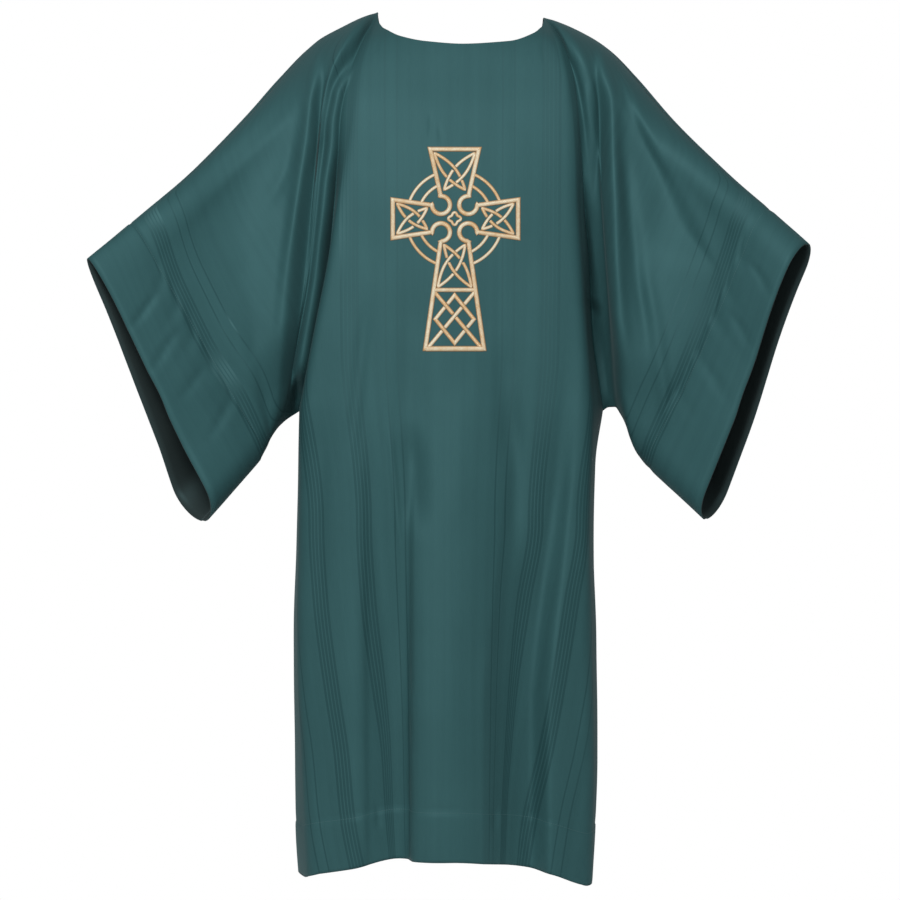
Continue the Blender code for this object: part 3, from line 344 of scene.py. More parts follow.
# Creases pressed into a panel: the depth (a trough is negative), the half width, and places along it,
# in steps of the view on the front and as x, z in metres on the back. Those that run off the foot end
# below it.
CREASES = {
    "front": (
        # neck
        (-0.0028, 0.0035, 363, 20, 367, 30, 366, 44),
        (-0.0013, 0.0028, 377, 24, 378, 36, 377, 50),
        (-0.0024, 0.0038, 553, 24, 556, 36, 557, 50),
        (-0.001, 0.003, 543, 32, 543, 44, 543, 66),
        # beside the right armpit and down its sleeve
        (-0.009, 0.011, 324, 53, 320, 94, 320, 142, 311, 178, 307, 231, 301, 287, 290, 367, 286, 400),
        (0.006, 0.0075, 316, 42, 309, 104, 301, 161, 292, 231, 281, 310),
        (-0.0035, 0.009, 294, 130, 287, 168, 263, 215),
        (-0.0065, 0.017, 302, 84, 255, 135, 186, 208),
        (-0.0024, 0.0026, 296, 100, 300, 106, 303, 112),
        (-0.0026, 0.0026, 297, 112, 301, 118, 304, 125),
        (-0.0026, 0.0026, 299, 124, 302, 131, 304, 137),
        # beside the left armpit and down its sleeve
        (-0.008, 0.0085, 563, 42, 573, 62, 577, 84, 578, 120),
        (0.0055, 0.006, 562, 40, 576, 60, 585, 92, 589, 122, 592, 172),
        (-0.013, 0.0095, 600, 60, 603, 100, 603, 135, 600, 175, 596, 215),
        (0.01, 0.0105, 609, 60, 611, 109, 616, 186, 617, 259, 623, 348, 632, 398),
        (-0.007, 0.0095, 618, 109, 628, 199, 640, 290, 652, 370),
        (0.0065, 0.009, 636, 236, 646, 280, 654, 320, 659, 360, 664, 400, 669, 440),
        (-0.014, 0.006, 583, 297, 593, 304, 605, 313),
        (0.004, 0.005, 583, 286, 593, 292, 604, 301),
        # cuffs, right and left
        (-0.004, 0.005, 160, 292, 149, 312, 137, 332),
        (-0.0045, 0.005, 181, 328, 168, 350, 157, 376),
        (-0.0045, 0.005, 206, 364, 196, 382, 186, 402),
        (-0.003, 0.005, 228, 400, 222, 420, 214, 440),
        (-0.0035, 0.005, 744, 262, 756, 280, 764, 304),
        (-0.004, 0.005, 728, 312, 738, 330, 744, 352),
        (-0.004, 0.005, 706, 362, 714, 382, 720, 404),
        # puckers of the foot hem, and above the cross
        (-0.0024, 0.0036, 377, 802, 378, 816, 379, 832),
        (-0.0028, 0.004, 496, 804, 495, 818, 494, 834),
        (-0.0012, 0.0032, 430, 112, 431, 126, 429, 142),
        (-0.001, 0.003, 437, 122, 441, 138, 440, 147),
        # chest
        (-0.004, 0.01, 368, 280, 364, 330, 359, 380, 354, 430, 350, 480),
        (-0.003, 0.02, 408, 230, 412, 330, 405, 440, 400, 520),
        (0.0018, 0.02, 458, 380, 458, 460, 450, 560),
        (-0.0036, 0.017, 505, 330, 507, 400, 508, 480),
        # waist
        (-0.0025, 0.01, 322, 420, 321, 520, 322, 640),
        (-0.004, 0.015, 372, 420, 376, 520, 384, 640),
        (0.0032, 0.0036, 388, 410, 392, 455, 398, 520, 405, 590),
        (-0.0085, 0.016, 412, 420, 414, 480, 417, 540),
        (-0.007, 0.017, 512, 380, 516, 470, 512, 570),
        (-0.003, 0.01, 566, 430, 560, 520, 552, 640),
    ),
    "back": (
        # neck and shoulders
        (-0.0022, 0.0045, -0.112, -0.018, -0.11, -0.05, -0.108, -0.085),
        (-0.0024, 0.0045, 0.14, -0.018, 0.138, -0.052, 0.134, -0.09),
        (-0.004, 0.014, -0.03, -0.08, -0.06, -0.22, -0.075, -0.42),
        (-0.004, 0.015, 0.045, -0.075, 0.062, -0.23, 0.083, -0.4),
        (0.0025, 0.02, 0.01, -0.06, 0.008, -0.2, 0.004, -0.42),
        # arms
        (-0.009, 0.01, -0.15, -0.07, -0.158, -0.15, -0.17, -0.26, -0.205, -0.42),
        (0.0045, 0.011, -0.185, -0.06, -0.2, -0.16, -0.232, -0.33, -0.262, -0.48),
        (-0.006, 0.017, -0.215, -0.11, -0.29, -0.19, -0.385, -0.3),
        (-0.0095, 0.01, 0.178, -0.07, 0.19, -0.15, 0.2, -0.27, 0.226, -0.43),
        (0.005, 0.0105, 0.21, -0.06, 0.226, -0.16, 0.246, -0.34, 0.278, -0.5),
        (-0.007, 0.015, 0.228, -0.09, 0.3, -0.19, 0.38, -0.31),
        # pleats of the skirt, and puckers of the foot hem
        (-0.0055, 0.007, -0.062, -0.76, -0.064, -1, -0.06, -1.3),
        (0.0028, 0.006, -0.054, -0.72, -0.055, -1, -0.051, -1.3),
        (-0.005, 0.0075, 0.075, -0.8, 0.074, -1.02, 0.071, -1.3),
        (0.0026, 0.0065, 0.066, -0.78, 0.065, -1.02, 0.062, -1.3),
        (-0.002, 0.004, -0.12, -1.16, -0.119, -1.178, -0.118, -1.2),
        (-0.0022, 0.0045, 0.11, -1.164, 0.109, -1.182, 0.108, -1.205),
    ),
}

# Slack that rises in the recess beside the right of the chest: its crest in steps of the view, and
# its depth y there.
SLACK_SIDES = 120.0      # how fast the slack falls away to its sides, per metre
SLACK_CREST = (
    (352, 62, -0.098), (339, 90, -0.101), (333, 120, -0.102), (331, 150, -0.102), (326, 180, -0.103),
    (323, 210, -0.102), (319, 240, -0.098), (315, 280, -0.092), (308, 320, -0.086), (301, 360, -0.078),
    (295, 400, -0.06),
)

# The edge of the tuck below the left overarm, in steps of the view.
OVERARM_TUCK = (604, 34, 612, 52, 622, 73, 631, 95, 641, 120, 655, 150, 671, 180, 686, 210, 700, 240, 717,
 272)

# Pleats of the skirt and one below the left overarm: how deep the cloth is tucked in beside the edge,
# how far the tuck reaches (to the left if positive), how sharp the edge is, how straight the tuck's
# floor runs (0 a soft bell, 1 a plane that ends in a crisp bend), and z, x, z, x... of the edge.
PLEATS = {
    "front": (
        (0.027, -0.08, 0.0035, 0.4, -0.66, -0.0545, -1.28, -0.056),
        (0.036, -0.0985, 0.032, 1, -0.48, 0.198, -0.63, 0.188, -0.92, 0.155, -1, 0.147, -1.28, 0.147),
        (0.0035, 0.03, 0.01, 0, -0.55, -0.13, -1.28, -0.125),
        (0.011, -0.08, 0.007, 0, *in_metres(OVERARM_TUCK)[:, ::-1].ravel()),
    ),
    "back": (
        (0.009, -0.045, 0.006, 0, -0.62, -0.048, -1.28, -0.05),
        (0.009, 0.05, 0.009, 0, -0.55, 0.062, -1.28, 0.056),
    ),
}

# Painted highlight on the satin stripes, where they catch the light: strength, middle (x, z) and half
# sizes.
PAINTED_STRIPE_HIGHLIGHTS = (
    (0.95, -0.425, -0.305, 0.016, 0.016), (0.7, -0.323, -0.53, 0.026, 0.026),
    (0.8, -0.313, -0.46, 0.014, 0.014), (0.6, -0.272, -0.49, 0.014, 0.02),
    (0.4, 0.425, -0.285, 0.022, 0.024), (0.35, 0.33, -0.43, 0.04, 0.05), (0.35, 0.24, -1.13, 0.04, 0.09),
)
CHEST_PAINTED_HIGHLIGHT = 0.22       # and everywhere on the chest
FOLD_PAINTED_HIGHLIGHT = 0.80        # and in the folds beside it
BELOW_FOOT = -1.29       # creases that end lower run off the foot
ABOVE_FOOT = -1.28       # pleats that end higher fade out there
SEAM_SUNK = 0.0007       # how far the seams are drawn in

# Dents across the cuffs' hems, where the stitching draws them in: reach down the cuff and depth.
CUFF_DENTS = {
    "right": ((0.22, 0.0022), (0.33, 0.0032), (0.45, 0.0028), (0.58, 0.0018), (0.72, 0.0022)),
    "left": ((0.18, 0.0020), (0.30, 0.0024), (0.41, 0.0032), (0.55, 0.0024), (0.70, 0.0018)),
}


def rolled_rows(turn, middle):
    """Shares from 0 to 1 that crowd together at both ends, where the cloth rolls over."""
    end = ROLL * (1 - np.cos(np.linspace(0, math.pi / 2, turn + 1)))
    return np.concatenate([end, np.linspace(ROLL, 1 - ROLL, middle + 1)[1:-1], 1 - end[::-1]])


FALL = rolled_rows(TURN_ROWS, FALL_ROWS)


def body_columns():
    """Across values of the body's columns: -2 right fold, -1..1 panel, 2 left fold."""
    wall = np.linspace(-2, -1 - CORNER_WALL, WALL_COLUMNS + 1)[:-1]
    corner = np.linspace(-1 - CORNER_WALL, -1 + CORNER, CORNER_COLUMNS + 1)[:-1]
    half = np.linspace(-1 + CORNER, 1 - CORNER, PANEL_COLUMNS + 1)
    left = np.concatenate([wall, corner])
    return np.concatenate([left, half, -left[::-1]])


def skirt_falls():
    """Shares of the fall from the armpits to the foot; the hem's turn lies on two close rows."""
    hem = 1 - HEM_DEPTH / SKIRT
    above = np.linspace(0, hem, SKIRT_ROWS - HEM_ROWS)
    return np.concatenate([above, np.linspace(hem + 0.003, 1, HEM_ROWS)])


def body_grid(layer):
    """Outer points of the body: each row is one fall, with the section at its heights."""
    a = body_columns()
    top = read(NECK, EDGE_COLUMNS, layer + "_z", a)
    foot = read(FOOT, EDGE_COLUMNS, layer + "_z", np.clip(a, -1.25, 1.25))
    upper = top + (ARMPIT_Z - top) * FALL[:, None]
    lower = ARMPIT_Z + (foot - ARMPIT_Z) * skirt_falls()[1:, None]
    z = np.concatenate([upper, lower])
    return body_section(layer, np.broadcast_to(a, z.shape), z)


def sleeve_lines(layer, side):
    """Points of every fold line of a sleeve at every fall, the body's fold first."""
    s = TO_SIDE[side]
    t = FALL
    z0 = OVERARM[side][0][3]
    lines = [body_section(layer, np.full_like(t, 2 * s), z0 + (ARMPIT_Z - z0) * t)]
    for row in LINES[side]:
        r = dict(zip(LINE_COLUMNS, row))
        top = np.array([read(OVERARM[side], ARM_COLUMNS, c, r["over"]) for c in "xyz"])
        low = np.array([read(UNDERARM[side], ARM_COLUMNS, c, r["under"]) for c in "xyz"])
        k = "b" if layer == "back" and "b15" in r else "f"
        off = curve(t, (0, 0.15, 0.40, 0.70, 0.92, 1),
                    (r[k + "15"], r[k + "15"], r[k + "40"], r[k + "70"], r[k + "92"], r[k + "92"]))
        off = off * np.sqrt(1 - (1 - np.minimum(t / r["turn_hi"], 1)) ** 2)
        off = off * np.sqrt(1 - (1 - np.minimum((1 - t) / r["turn_lo"], 1)) ** 2)
        bow = curve(t, (0, 0.2, 0.65, 1), (0, r["bow_hi"], r["bow_lo"], 0))
        swing = SWING * ease((r["over"] + r["under"]) / 0.9)
        away = np.array([s * math.sin(swing), math.cos(swing), 0.0]) * OUT[layer]
        lines.append(top + (low - top) * t[:, None] + off[:, None] * away)
        lines[-1][:, 0] -= s * bow
    return np.array(lines)


def sleeve_places():
    """Places of a sleeve's columns among its fold lines."""
    return np.array([0.0] + [k + (i + 1) / n for k, n in enumerate(SLEEVE_STEPS) for i in range(n)])


def sleeve_grid(layer, side):
    """Outer points of a sleeve: at each fall a smooth curve through its fold lines."""
    lines = sleeve_lines(layer, side)
    at = sleeve_places()
    grid = np.zeros((len(FALL), len(at), 3))
    for j in range(len(FALL)):
        for c in range(3):
            grid[j, :, c] = curve(at, np.arange(len(lines)), lines[:, j, c])
    return grid


def grid_normals(grid):
    """Unit normals of a grid of points, from its rows and columns."""
    normal = np.cross(np.gradient(grid, axis=0), np.gradient(grid, axis=1))
    return normal / np.maximum(np.linalg.norm(normal, axis=2), 1e-9)[..., None]


def corners(grid):
    """The four corners of every face of a grid."""
    return np.stack([grid[:-1, :-1], grid[1:, :-1], grid[1:, 1:], grid[:-1, 1:]], 2)


def near_path(x, z, path):
    """Distance to a path of straight stretches, and the place along it from 0 to 1."""
    best = np.full(x.shape, 9.0)
    place = np.zeros(x.shape)
    count = len(path) - 1
    for k in range(count):
        p = path[k]
        span = path[k + 1] - p
        u = np.clip(((x - p[0]) * span[0] + (z - p[1]) * span[1]) / (span @ span), 0, 1)
        far = np.hypot(x - p[0] - u * span[0], z - p[1] - u * span[1])
        closer = far < best
        best = np.where(closer, far, best)
        place = np.where(closer, (k + u) / count, place)
    return best, place


def crease_relief(layer, points):
    """Sum of the creases at some points: each is a bell across its path that fades at its ends."""
    x, z = points[..., 0], points[..., 2]
    out = np.zeros(x.shape)
    for depth, wide, *places in CREASES[layer]:
        path = in_metres(places) if layer == "front" else np.reshape(places, (-1, 2))
        far, place = near_path(x, z, path)
        fade = ease(place / 0.35) * ease((1 - place) / 0.35)
        if path[-1][1] < BELOW_FOOT:
            fade = ease(place / 0.45)
        out += depth * fade * np.exp(-(far / wide) ** 2)
    return out


def pleat_relief(layer, points):
    """Sum of the pleats: full depth just beside the edge, easing out over the tuck's reach."""
    x, z = points[..., 0], points[..., 2]
    out = np.zeros(x.shape)
    for depth, reach, sharp, straight, *places in PLEATS[layer]:
        heights, edges = np.reshape(places, (-1, 2))[::-1].T
        beside = (x - np.interp(z, heights, edges)) * np.sign(reach)
        share = np.maximum(beside, 0) / abs(reach)
        floor = (1 - straight) * np.exp(-share ** 1.5) + straight * np.clip(1 - share, 0, 1)
        start, end = heights[-1], heights[0]
        fade = ease((z - start) / (end - start) * 2.2)
        if end > ABOVE_FOOT:
            fade = fade * ease((z - end) / 0.06)
        out -= depth * fade * ease(beside / sharp) * floor
    return out


def slack_relief(points):
    """How far the slack in the recess brings the cloth forward: a softened maximum with its ridge."""
    x, y, z = points.T
    *places, depths = np.array(SLACK_CREST[::-1]).T
    middles, heights = in_metres(np.stack(places, -1)).T
    ridge = np.interp(z, heights, depths) + SLACK_SIDES * (x - np.interp(z, heights, middles)) ** 2
    gain = y - ridge
    ends = ease((z - heights[0]) / 0.05) * ease((heights[-1] - z) / 0.04)
    return ends * (gain + np.sqrt(gain ** 2 + 0.004 ** 2)) / 2


def soft_waves(points, layer):
    """Slow unevenness of the cloth: a few long waves that never repeat over the garment."""
    x, z = points[..., 0], points[..., 2]
    k = 0.0 if layer == "front" else 1.7
    wave = np.sin(21 * x + 5.1 * z + 1.3 + k) * np.sin(9.7 * z - 3 * x + 0.4)
    wave += 0.6 * np.sin(47 * x - 7.3 * z + 2.1 + k) * np.sin(17 * z + 6 * x)
    wave += 0.3 * np.sin(83 * x + 19 * z + 0.7) * np.sin(31 * z - 11 * x + k)
    return 0.0006 * wave


def hem_relief(t):
    """Stitched hem at a distance t inside its fold line: a fine groove with a soft shoulder."""
    groove = -0.0010 * np.exp(-(t / 0.0016) ** 2)
    shoulder = 0.0005 * ease((t + 0.004) / 0.006) - 0.0004 * np.exp(-((t + 0.006) / 0.004) ** 2)
    return groove + shoulder


# ---------------------------------------------------------------- cloth panels
def body_grain(grid):
    """Distance from the cloth's middle and height of every point of the body, as on the flat cloth."""
    x, z = grid[..., 0], grid[..., 2]
    right, left, chest = (read(TAKE_IN, TAKE_IN_COLUMNS, name, z) for name in TAKE_IN_COLUMNS[1:])
    p = x * chest + np.sign(x) * np.where(x < 0, right, left) * ease((np.abs(x) - 0.045) / 0.060)
    a = body_columns()
    step = np.linalg.norm(np.diff(grid, axis=1), axis=2)
    for s in (-1, 1):
        for i in range(len(a))[::s]:
            if a[i] * s > 1:
                p[:, i] = p[:, i - s] + s * step[:, i - 1 if s > 0 else i]
    return np.stack([p, z], -1)


def sleeve_grain(grid, side):
    """Flat-cloth places of a sleeve: each step counts only what it moves across the grain."""
    g = np.array(GRAIN[side])
    normal = grid_normals(grid)
    along = g - (normal @ g)[..., None] * normal
    along /= np.linalg.norm(along, axis=2)[..., None]
    step = np.diff(grid, axis=1)
    lean = (step * (along[:, 1:] + along[:, :-1]) / 2).sum(2)
    wide = np.sqrt(np.maximum((step ** 2).sum(2) - lean ** 2, 0))
    inside = np.concatenate([wide[:, ::-1].cumsum(1)[:, ::-1], np.zeros((len(grid), 1))], 1)
    s = TO_SIDE[side]
    bow = curve(FALL, *STRIPE_BOW[side])[:, None] * ease(inside / 0.05)
    return np.stack([s * (CUFF_AT - inside + bow), (grid @ g) * -1], -1)


def cuff_dents(side, layer):
    """Dents of a cuff's hem over the sleeve's grid: bells down the cuff, each with a half swell below."""
    at = sleeve_places()
    hem = np.exp(-((at - 8.7) / 0.62) ** 2)
    lean = (at - 9) * 0.05
    out = np.zeros((len(FALL), len(at)))
    for reach, depth in CUFF_DENTS[side]:
        reach = reach + (0.0 if layer == "front" else 0.06)
        out -= depth * hem * np.exp(-((FALL[:, None] - reach - lean) / 0.022) ** 2)
        out += 0.5 * depth * hem * np.exp(-((FALL[:, None] - reach - 0.045 - lean) / 0.025) ** 2)
    return out


def panel(layer):
    """One panel before it gets its thickness: points, faces, grain, and marks of seam, hem and relief."""
    body = body_grid(layer)
    rows, cols = body.shape[:2]
    falls = len(FALL)
    ids = np.arange(rows * cols).reshape(rows, cols)
    seam = np.zeros((rows, cols))
    seam[falls - 1:, [0, -1]] = 1
    seam[0, [0, -1]] = 1
    skirt = np.concatenate([np.full(falls, -1.0), skirt_falls()[1:]])
    hem_at = (skirt - (1 - HEM_DEPTH / SKIRT)) * SKIRT
    relief = np.where(skirt > 0.5, hem_relief(hem_at), 0)[:, None] * np.ones(cols)
    own = [(body, seam, hem_at[:, None] * np.ones(cols) > 0, relief)]
    grids = [(ids, body_grain(body), False)]
    count = rows * cols
    at = sleeve_places()
    for side in ("right", "left"):
        grid = sleeve_grid(layer, side)
        wide = len(at) - 1
        mine = count + np.arange(falls * wide).reshape(falls, wide)
        count += falls * wide
        shared = ids[:falls, [0 if side == "right" else -1]]
        seam = np.zeros((falls, wide))
        seam[[0, -1]] = 1
        reach = curve(at, *HEM_REACH) - curve(STITCH_AT[side], *HEM_REACH)
        relief = hem_relief(np.where(at < 7.9, -0.05, reach)) + cuff_dents(side, layer)
        own.append((grid[:, 1:], seam, np.broadcast_to(at[1:] > 8.5, seam.shape), relief[:, 1:]))
        grids.append((np.concatenate([shared, mine], 1), sleeve_grain(grid, side), side == "right"))
    points, seam, hem, relief = (np.concatenate([grid.reshape(-1, *grid.shape[2:]) for grid in mark])
                                 for mark in zip(*own))
    ways = [-1 if mirrored != (layer == "back") else 1 for _, _, mirrored in grids]
    faces = [corners(ids).reshape(-1, 4)[:, ::way] for (ids, _, _), way in zip(grids, ways)]
    grains = [corners(grain).reshape(-1, 4, 2)[:, ::way] for (_, grain, _), way in zip(grids, ways)]
    return {"points": points, "faces": np.concatenate(faces), "grain": np.concatenate(grains),
            "seam": seam, "hem": hem.astype(float), "relief": relief}


def corner_normals(points, faces):
    """Sum of the face normals round every point, each weighted by its face's size."""
    normal = np.cross(points[faces[:, 2]] - points[faces[:, 0]], points[faces[:, 3]] - points[faces[:, 1]])
    out = np.zeros_like(points)
    for k in range(4):
        np.add.at(out, faces[:, k], normal)
    return out


def unit(v):
    """Vectors at length one."""
    return v / np.maximum(np.linalg.norm(v, axis=-1), 1e-12)[..., None]


def seam_pairs(front, back):
    """Numbers of the front's and the back's points that meet in the seams."""
    mine = np.nonzero(front["seam"])[0]
    theirs = np.nonzero(back["seam"])[0]
    apart = np.linalg.norm(front["points"][mine][:, None] - back["points"][theirs][None], axis=2)
    return mine, theirs[apart.argmin(1)]


def shared_normals(panels):
    """Normals of both panels, alike where their seams meet."""
    sums = {name: unit(corner_normals(p["points"], p["faces"])) for name, p in panels.items()}
    mine, theirs = seam_pairs(panels["front"], panels["back"])
    total = sums["front"][mine] + sums["back"][theirs]
    at = panels["front"]["points"][mine]
    for side in UNDERARM:
        armpit = np.array(UNDERARM[side][0][1:])
        near = np.linalg.norm(at - armpit, axis=1) < 0.001
        total[near] = np.array(ARMPIT_OUT) * (np.sign(armpit[0]), 1, 1)
    sums["front"][mine] = total
    sums["back"][theirs] = total
    return {name: unit(v) for name, v in sums.items()}


def soften(values, faces, held, times):
    """Evens values out over the faces' corners; held points keep theirs."""
    for _ in range(times):
        total = np.zeros_like(values)
        count = np.zeros(len(values))
        for k in range(4):
            for step in (1, 3):
                np.add.at(total, faces[:, k], values[faces[:, (k + step) % 4]])
                np.add.at(count, faces[:, k], 1)
        new = (values + total / count[:, None]) / 2
        values = np.where(held[:, None] > 0, values, new)
    return values


def dress(layer, p, normals):
    """Moves a panel's points: creases and pleats straight back or forward, the rest along normals.

    The folds beside the chest and down the sleeves are then softened.
    """
    forward = OUT[layer]
    facing = np.clip(normals[:, 1] * forward, 0, 1) ** 0.5
    free = 1 - p["seam"]
    pressed = crease_relief(layer, p["points"]) + pleat_relief(layer, p["points"])
    move = (soft_waves(p["points"], layer) + p["relief"]) * free - SEAM_SUNK * p["seam"]
    p["points"] = p["points"] + normals * move[:, None]
    p["points"][:, 1] += forward * pressed * facing * free
    x, z = p["points"][:, 0], p["points"][:, 2]
    folds = ease((np.abs(x - 0.01) - 0.12) / 0.03) * ease((0.44 - np.abs(x)) / 0.05)
    folds = (folds * ease((z + 0.60) / 0.05))[:, None]
    p["points"] = p["points"] + (soften(p["points"], p["faces"], p["seam"], 3) - p["points"]) * folds


def panel_shell(p, normals):
    """Closed cloth: outer points, the same moved in by the cloth's thickness, and its raw edges."""
    outer = p["points"]
    normals = unit(soften(normals, p["faces"], p["seam"], 3))
    inner = outer - normals * (CLOTH + HEM_TURN * p["hem"])[:, None]
    count = len(outer)
    faces = p["faces"]
    a = faces.ravel()
    b = np.roll(faces, -1, 1).ravel()
    uv_a = p["grain"].reshape(-1, 2)
    uv_b = np.roll(p["grain"], -1, 1).reshape(-1, 2)
    rim = ~np.isin(a.astype(np.int64) * count + b, b.astype(np.int64) * count + a)
    rim_faces = np.stack([b[rim], a[rim], a[rim] + count, b[rim] + count], 1)
    rim_uv = np.stack([uv_b[rim], uv_a[rim], uv_a[rim], uv_b[rim]], 1)
    return (np.concatenate([outer, inner]), np.concatenate([faces, faces[:, ::-1] + count, rim_faces]),
            np.concatenate([p["grain"], p["grain"][:, ::-1], rim_uv]))


def make_mesh(name, points, faces, uv, uv_name, material, smooth=True):
    """Mesh object of four-cornered faces with one UV map, in place in the row frame."""
    mesh = bpy.data.meshes.new(name)
    mesh.vertices.add(len(points))
    mesh.vertices.foreach_set("co", np.asarray(points, np.float32).ravel())
    mesh.loops.add(faces.size)
    mesh.loops.foreach_set("vertex_index", faces.astype(np.int32).ravel())
    mesh.polygons.add(len(faces))
    mesh.polygons.foreach_set("loop_start", np.arange(0, faces.size, 4, dtype=np.int32))
    mesh.polygons.foreach_set("use_smooth", np.full(len(faces), smooth))
    mesh.update(calc_edges=True)
    layer = mesh.uv_layers.new(name=uv_name)
    layer.data.foreach_set("uv", np.asarray(uv, np.float32).ravel())
    mesh.validate()
    mesh.materials.append(material)
    obj = bpy.data.objects.new(name, mesh)
    bpy.context.scene.collection.objects.link(obj)
    return obj


def store(piece, name, values):
    """Keeps one value a point on a piece's mesh for its material to read."""
    values = np.asarray(values, np.float32)
    piece.data.attributes.new(name, "FLOAT", "POINT").data.foreach_set("value", values)


# ---------------------------------------------------------------- materials
class Shading:
    """Nodes of a new material: numbers, colours and sockets go in, and sockets come out."""

    def __init__(self, name, colour, roughness):
        """Starts a material with its shader and output."""
        self.material = bpy.data.materials.new(name)
        self.material.use_nodes = True
        self.tree = self.material.node_tree
        self.surface({"Base Color": colour, "Roughness": roughness})

    def fill(self, node, values):
        """Sets a node's inputs, or links them where the value is a socket."""
        for key, value in values.items():
            socket = node.inputs[key]
            if isinstance(value, bpy.types.NodeSocket):
                self.tree.links.new(value, socket)
            elif isinstance(value, tuple):
                socket.default_value = (*value, 1)[:len(socket.default_value)]
            elif value is not None:
                socket.default_value = value

    def surface(self, values):
        """Sets inputs of the material's shader."""
        self.fill(self.tree.nodes["Principled BSDF"], values)

    def add(self, kind, values, out=0, **settings):
        """New node; gives one of its outputs."""
        node = self.tree.nodes.new("ShaderNode" + kind)
        for key, value in settings.items():
            setattr(node, key, value)
        self.fill(node, values)
        return node.outputs[out]

    def math(self, operation, *values, clamp=False):
        """Sum, product or the like of numbers and sockets."""
        return self.add("Math", dict(enumerate(values)), operation=operation, use_clamp=clamp)

    def mix(self, factor, a, b):
        """Mix of two colours."""
        return self.add("Mix", {0: factor, 6: a, 7: b}, 2, data_type="RGBA")

    def noise(self, vector, scale=1.0, detail=2.0):
        """Soft noise between 0 and 1."""
        return self.add("TexNoise", {"Vector": vector, "Scale": scale, "Detail": detail})

    def stretch(self, vector, scale):
        """Coordinates times a scale for each axis."""
        return self.add("Mapping", {"Vector": vector, "Scale": scale})

    def attribute(self, name):
        """Value stored on the mesh's points."""
        return self.add("Attribute", {}, "Fac", attribute_name=name)

    def object_place(self):
        """Place in the object's own coordinates."""
        return self.add("TexCoord", {}, "Object")

    def zigzag(self, turns):
        """Distance from the middle of each turn: 0.5 at its ends, 0 between them."""
        return self.math("ABSOLUTE", self.math("SUBTRACT", self.math("FRACT", turns), 0.5))

    def window(self, value, middle, half, soft):
        """1 within half of the middle, with soft edges, otherwise 0."""
        off = self.math("ABSOLUTE", self.math("SUBTRACT", value, middle))
        return self.math("DIVIDE", self.math("SUBTRACT", half + soft / 2, off), soft, clamp=True)

    def spread(self, value, low, high):
        """Values from low to high, spread out from 0 to 1."""
        return self.add("MapRange", {"Value": value, "From Min": low, "From Max": high})


def woven_cloth():
    """Green cloth: fine weave and slubs, with satin bands of five stripes and pairs of stripes, whose tone
    carries a painted highlight.
    """
    make = Shading("green_cloth", (0.034, 0.115, 0.121), 0.60)
    uv = make.add("UVMap", {}, uv_map="grain")
    across = make.math("ABSOLUTE", make.add("SeparateXYZ", {0: uv}))
    satin = 0.0
    for middle in BANDS:
        turns = make.math("MULTIPLY", make.math("SUBTRACT", across, middle), 1 / STRIPE_PITCH)
        stripe = make.math("MULTIPLY", make.math("SUBTRACT", make.zigzag(turns), 0.10), 9.0, clamp=True)
        inside = make.window(across, middle, BAND_HALF, 0.0010)
        satin = make.math("MAXIMUM", satin, make.math("MULTIPLY", inside, stripe))
    for middle in PAIRS:
        for side in (-PAIR_HALF, PAIR_HALF):
            satin = make.math("MAXIMUM", satin, make.window(across, middle + side, LINE_HALF, 0.0009))
    # The stripes' colour runs from their darker tone to a painted highlight, as the "satin" values say.
    stripe_tone_with_painted_highlight = make.mix(make.attribute("satin"), (0.0175, 0.0600, 0.0650), (0.078, 0.190, 0.200))
    cloudy = make.spread(make.noise(make.object_place(), 9.0, 4.0), 0.3, 0.7)
    ground = make.mix(cloudy, (0.0305, 0.0930, 0.0985), (0.0350, 0.1040, 0.1100))
    streak = make.spread(make.noise(make.stretch(uv, (75.0, 1.3, 1.0))), 0.35, 0.65)
    ground = make.mix(make.math("MULTIPLY", streak, 0.35), ground, (0.0230, 0.0720, 0.0770))
    slub = make.noise(make.stretch(uv, (1400.0, 60.0, 1.0)), detail=3.0)
    yarn = make.math("MULTIPLY", make.math("SUBTRACT", slub, 0.35), 2.5, clamp=True)
    ground = make.mix(make.math("MULTIPLY", yarn, 0.22), ground, (0.045, 0.130, 0.138))
    colour = make.mix(make.math("MULTIPLY", satin, 0.77), ground, stripe_tone_with_painted_highlight)
    colour = make.mix(make.attribute("reverse"), colour, (0.031, 0.043, 0.043))
    twill = make.add("TexWave", {"Vector": make.stretch(uv, (310.0, 310.0, 1.0)), "Scale": 1.0}, "Fac",
                     wave_type="BANDS", bands_direction="DIAGONAL")
    weave = make.math("MULTIPLY", twill, make.math("SUBTRACT", 1.0, satin))
    height = make.math("ADD", make.math("MULTIPLY", weave, 0.35), make.math("MULTIPLY", yarn, 0.30))
    height = make.math("SUBTRACT", height, make.math("MULTIPLY", satin, 0.35))
    make.surface({
        "Base Color": colour, "Sheen Weight": 0.06, "Sheen Roughness": 0.45,
        "Sheen Tint": (0.62, 0.86, 0.88), "Specular IOR Level": 0.45, "Specular Tint": (0.45, 0.90, 0.95),
        "Normal": make.add("Bump", {"Strength": 0.30, "Distance": 0.00035, "Height": height})})
    return make.material


def stitch_thread():
    """Matching sewing thread, a little lighter than the cloth, streaked by its twist."""
    make = Shading("green_thread", (0.050, 0.135, 0.142), 0.5)
    twist = make.add("TexWave", {"Vector": make.object_place(), "Scale": 900.0}, "Fac")
    make.surface({"Base Color": make.mix(twist, (0.044, 0.120, 0.127), (0.062, 0.160, 0.168)),
                  "Sheen Weight": 0.1})
    return make.material


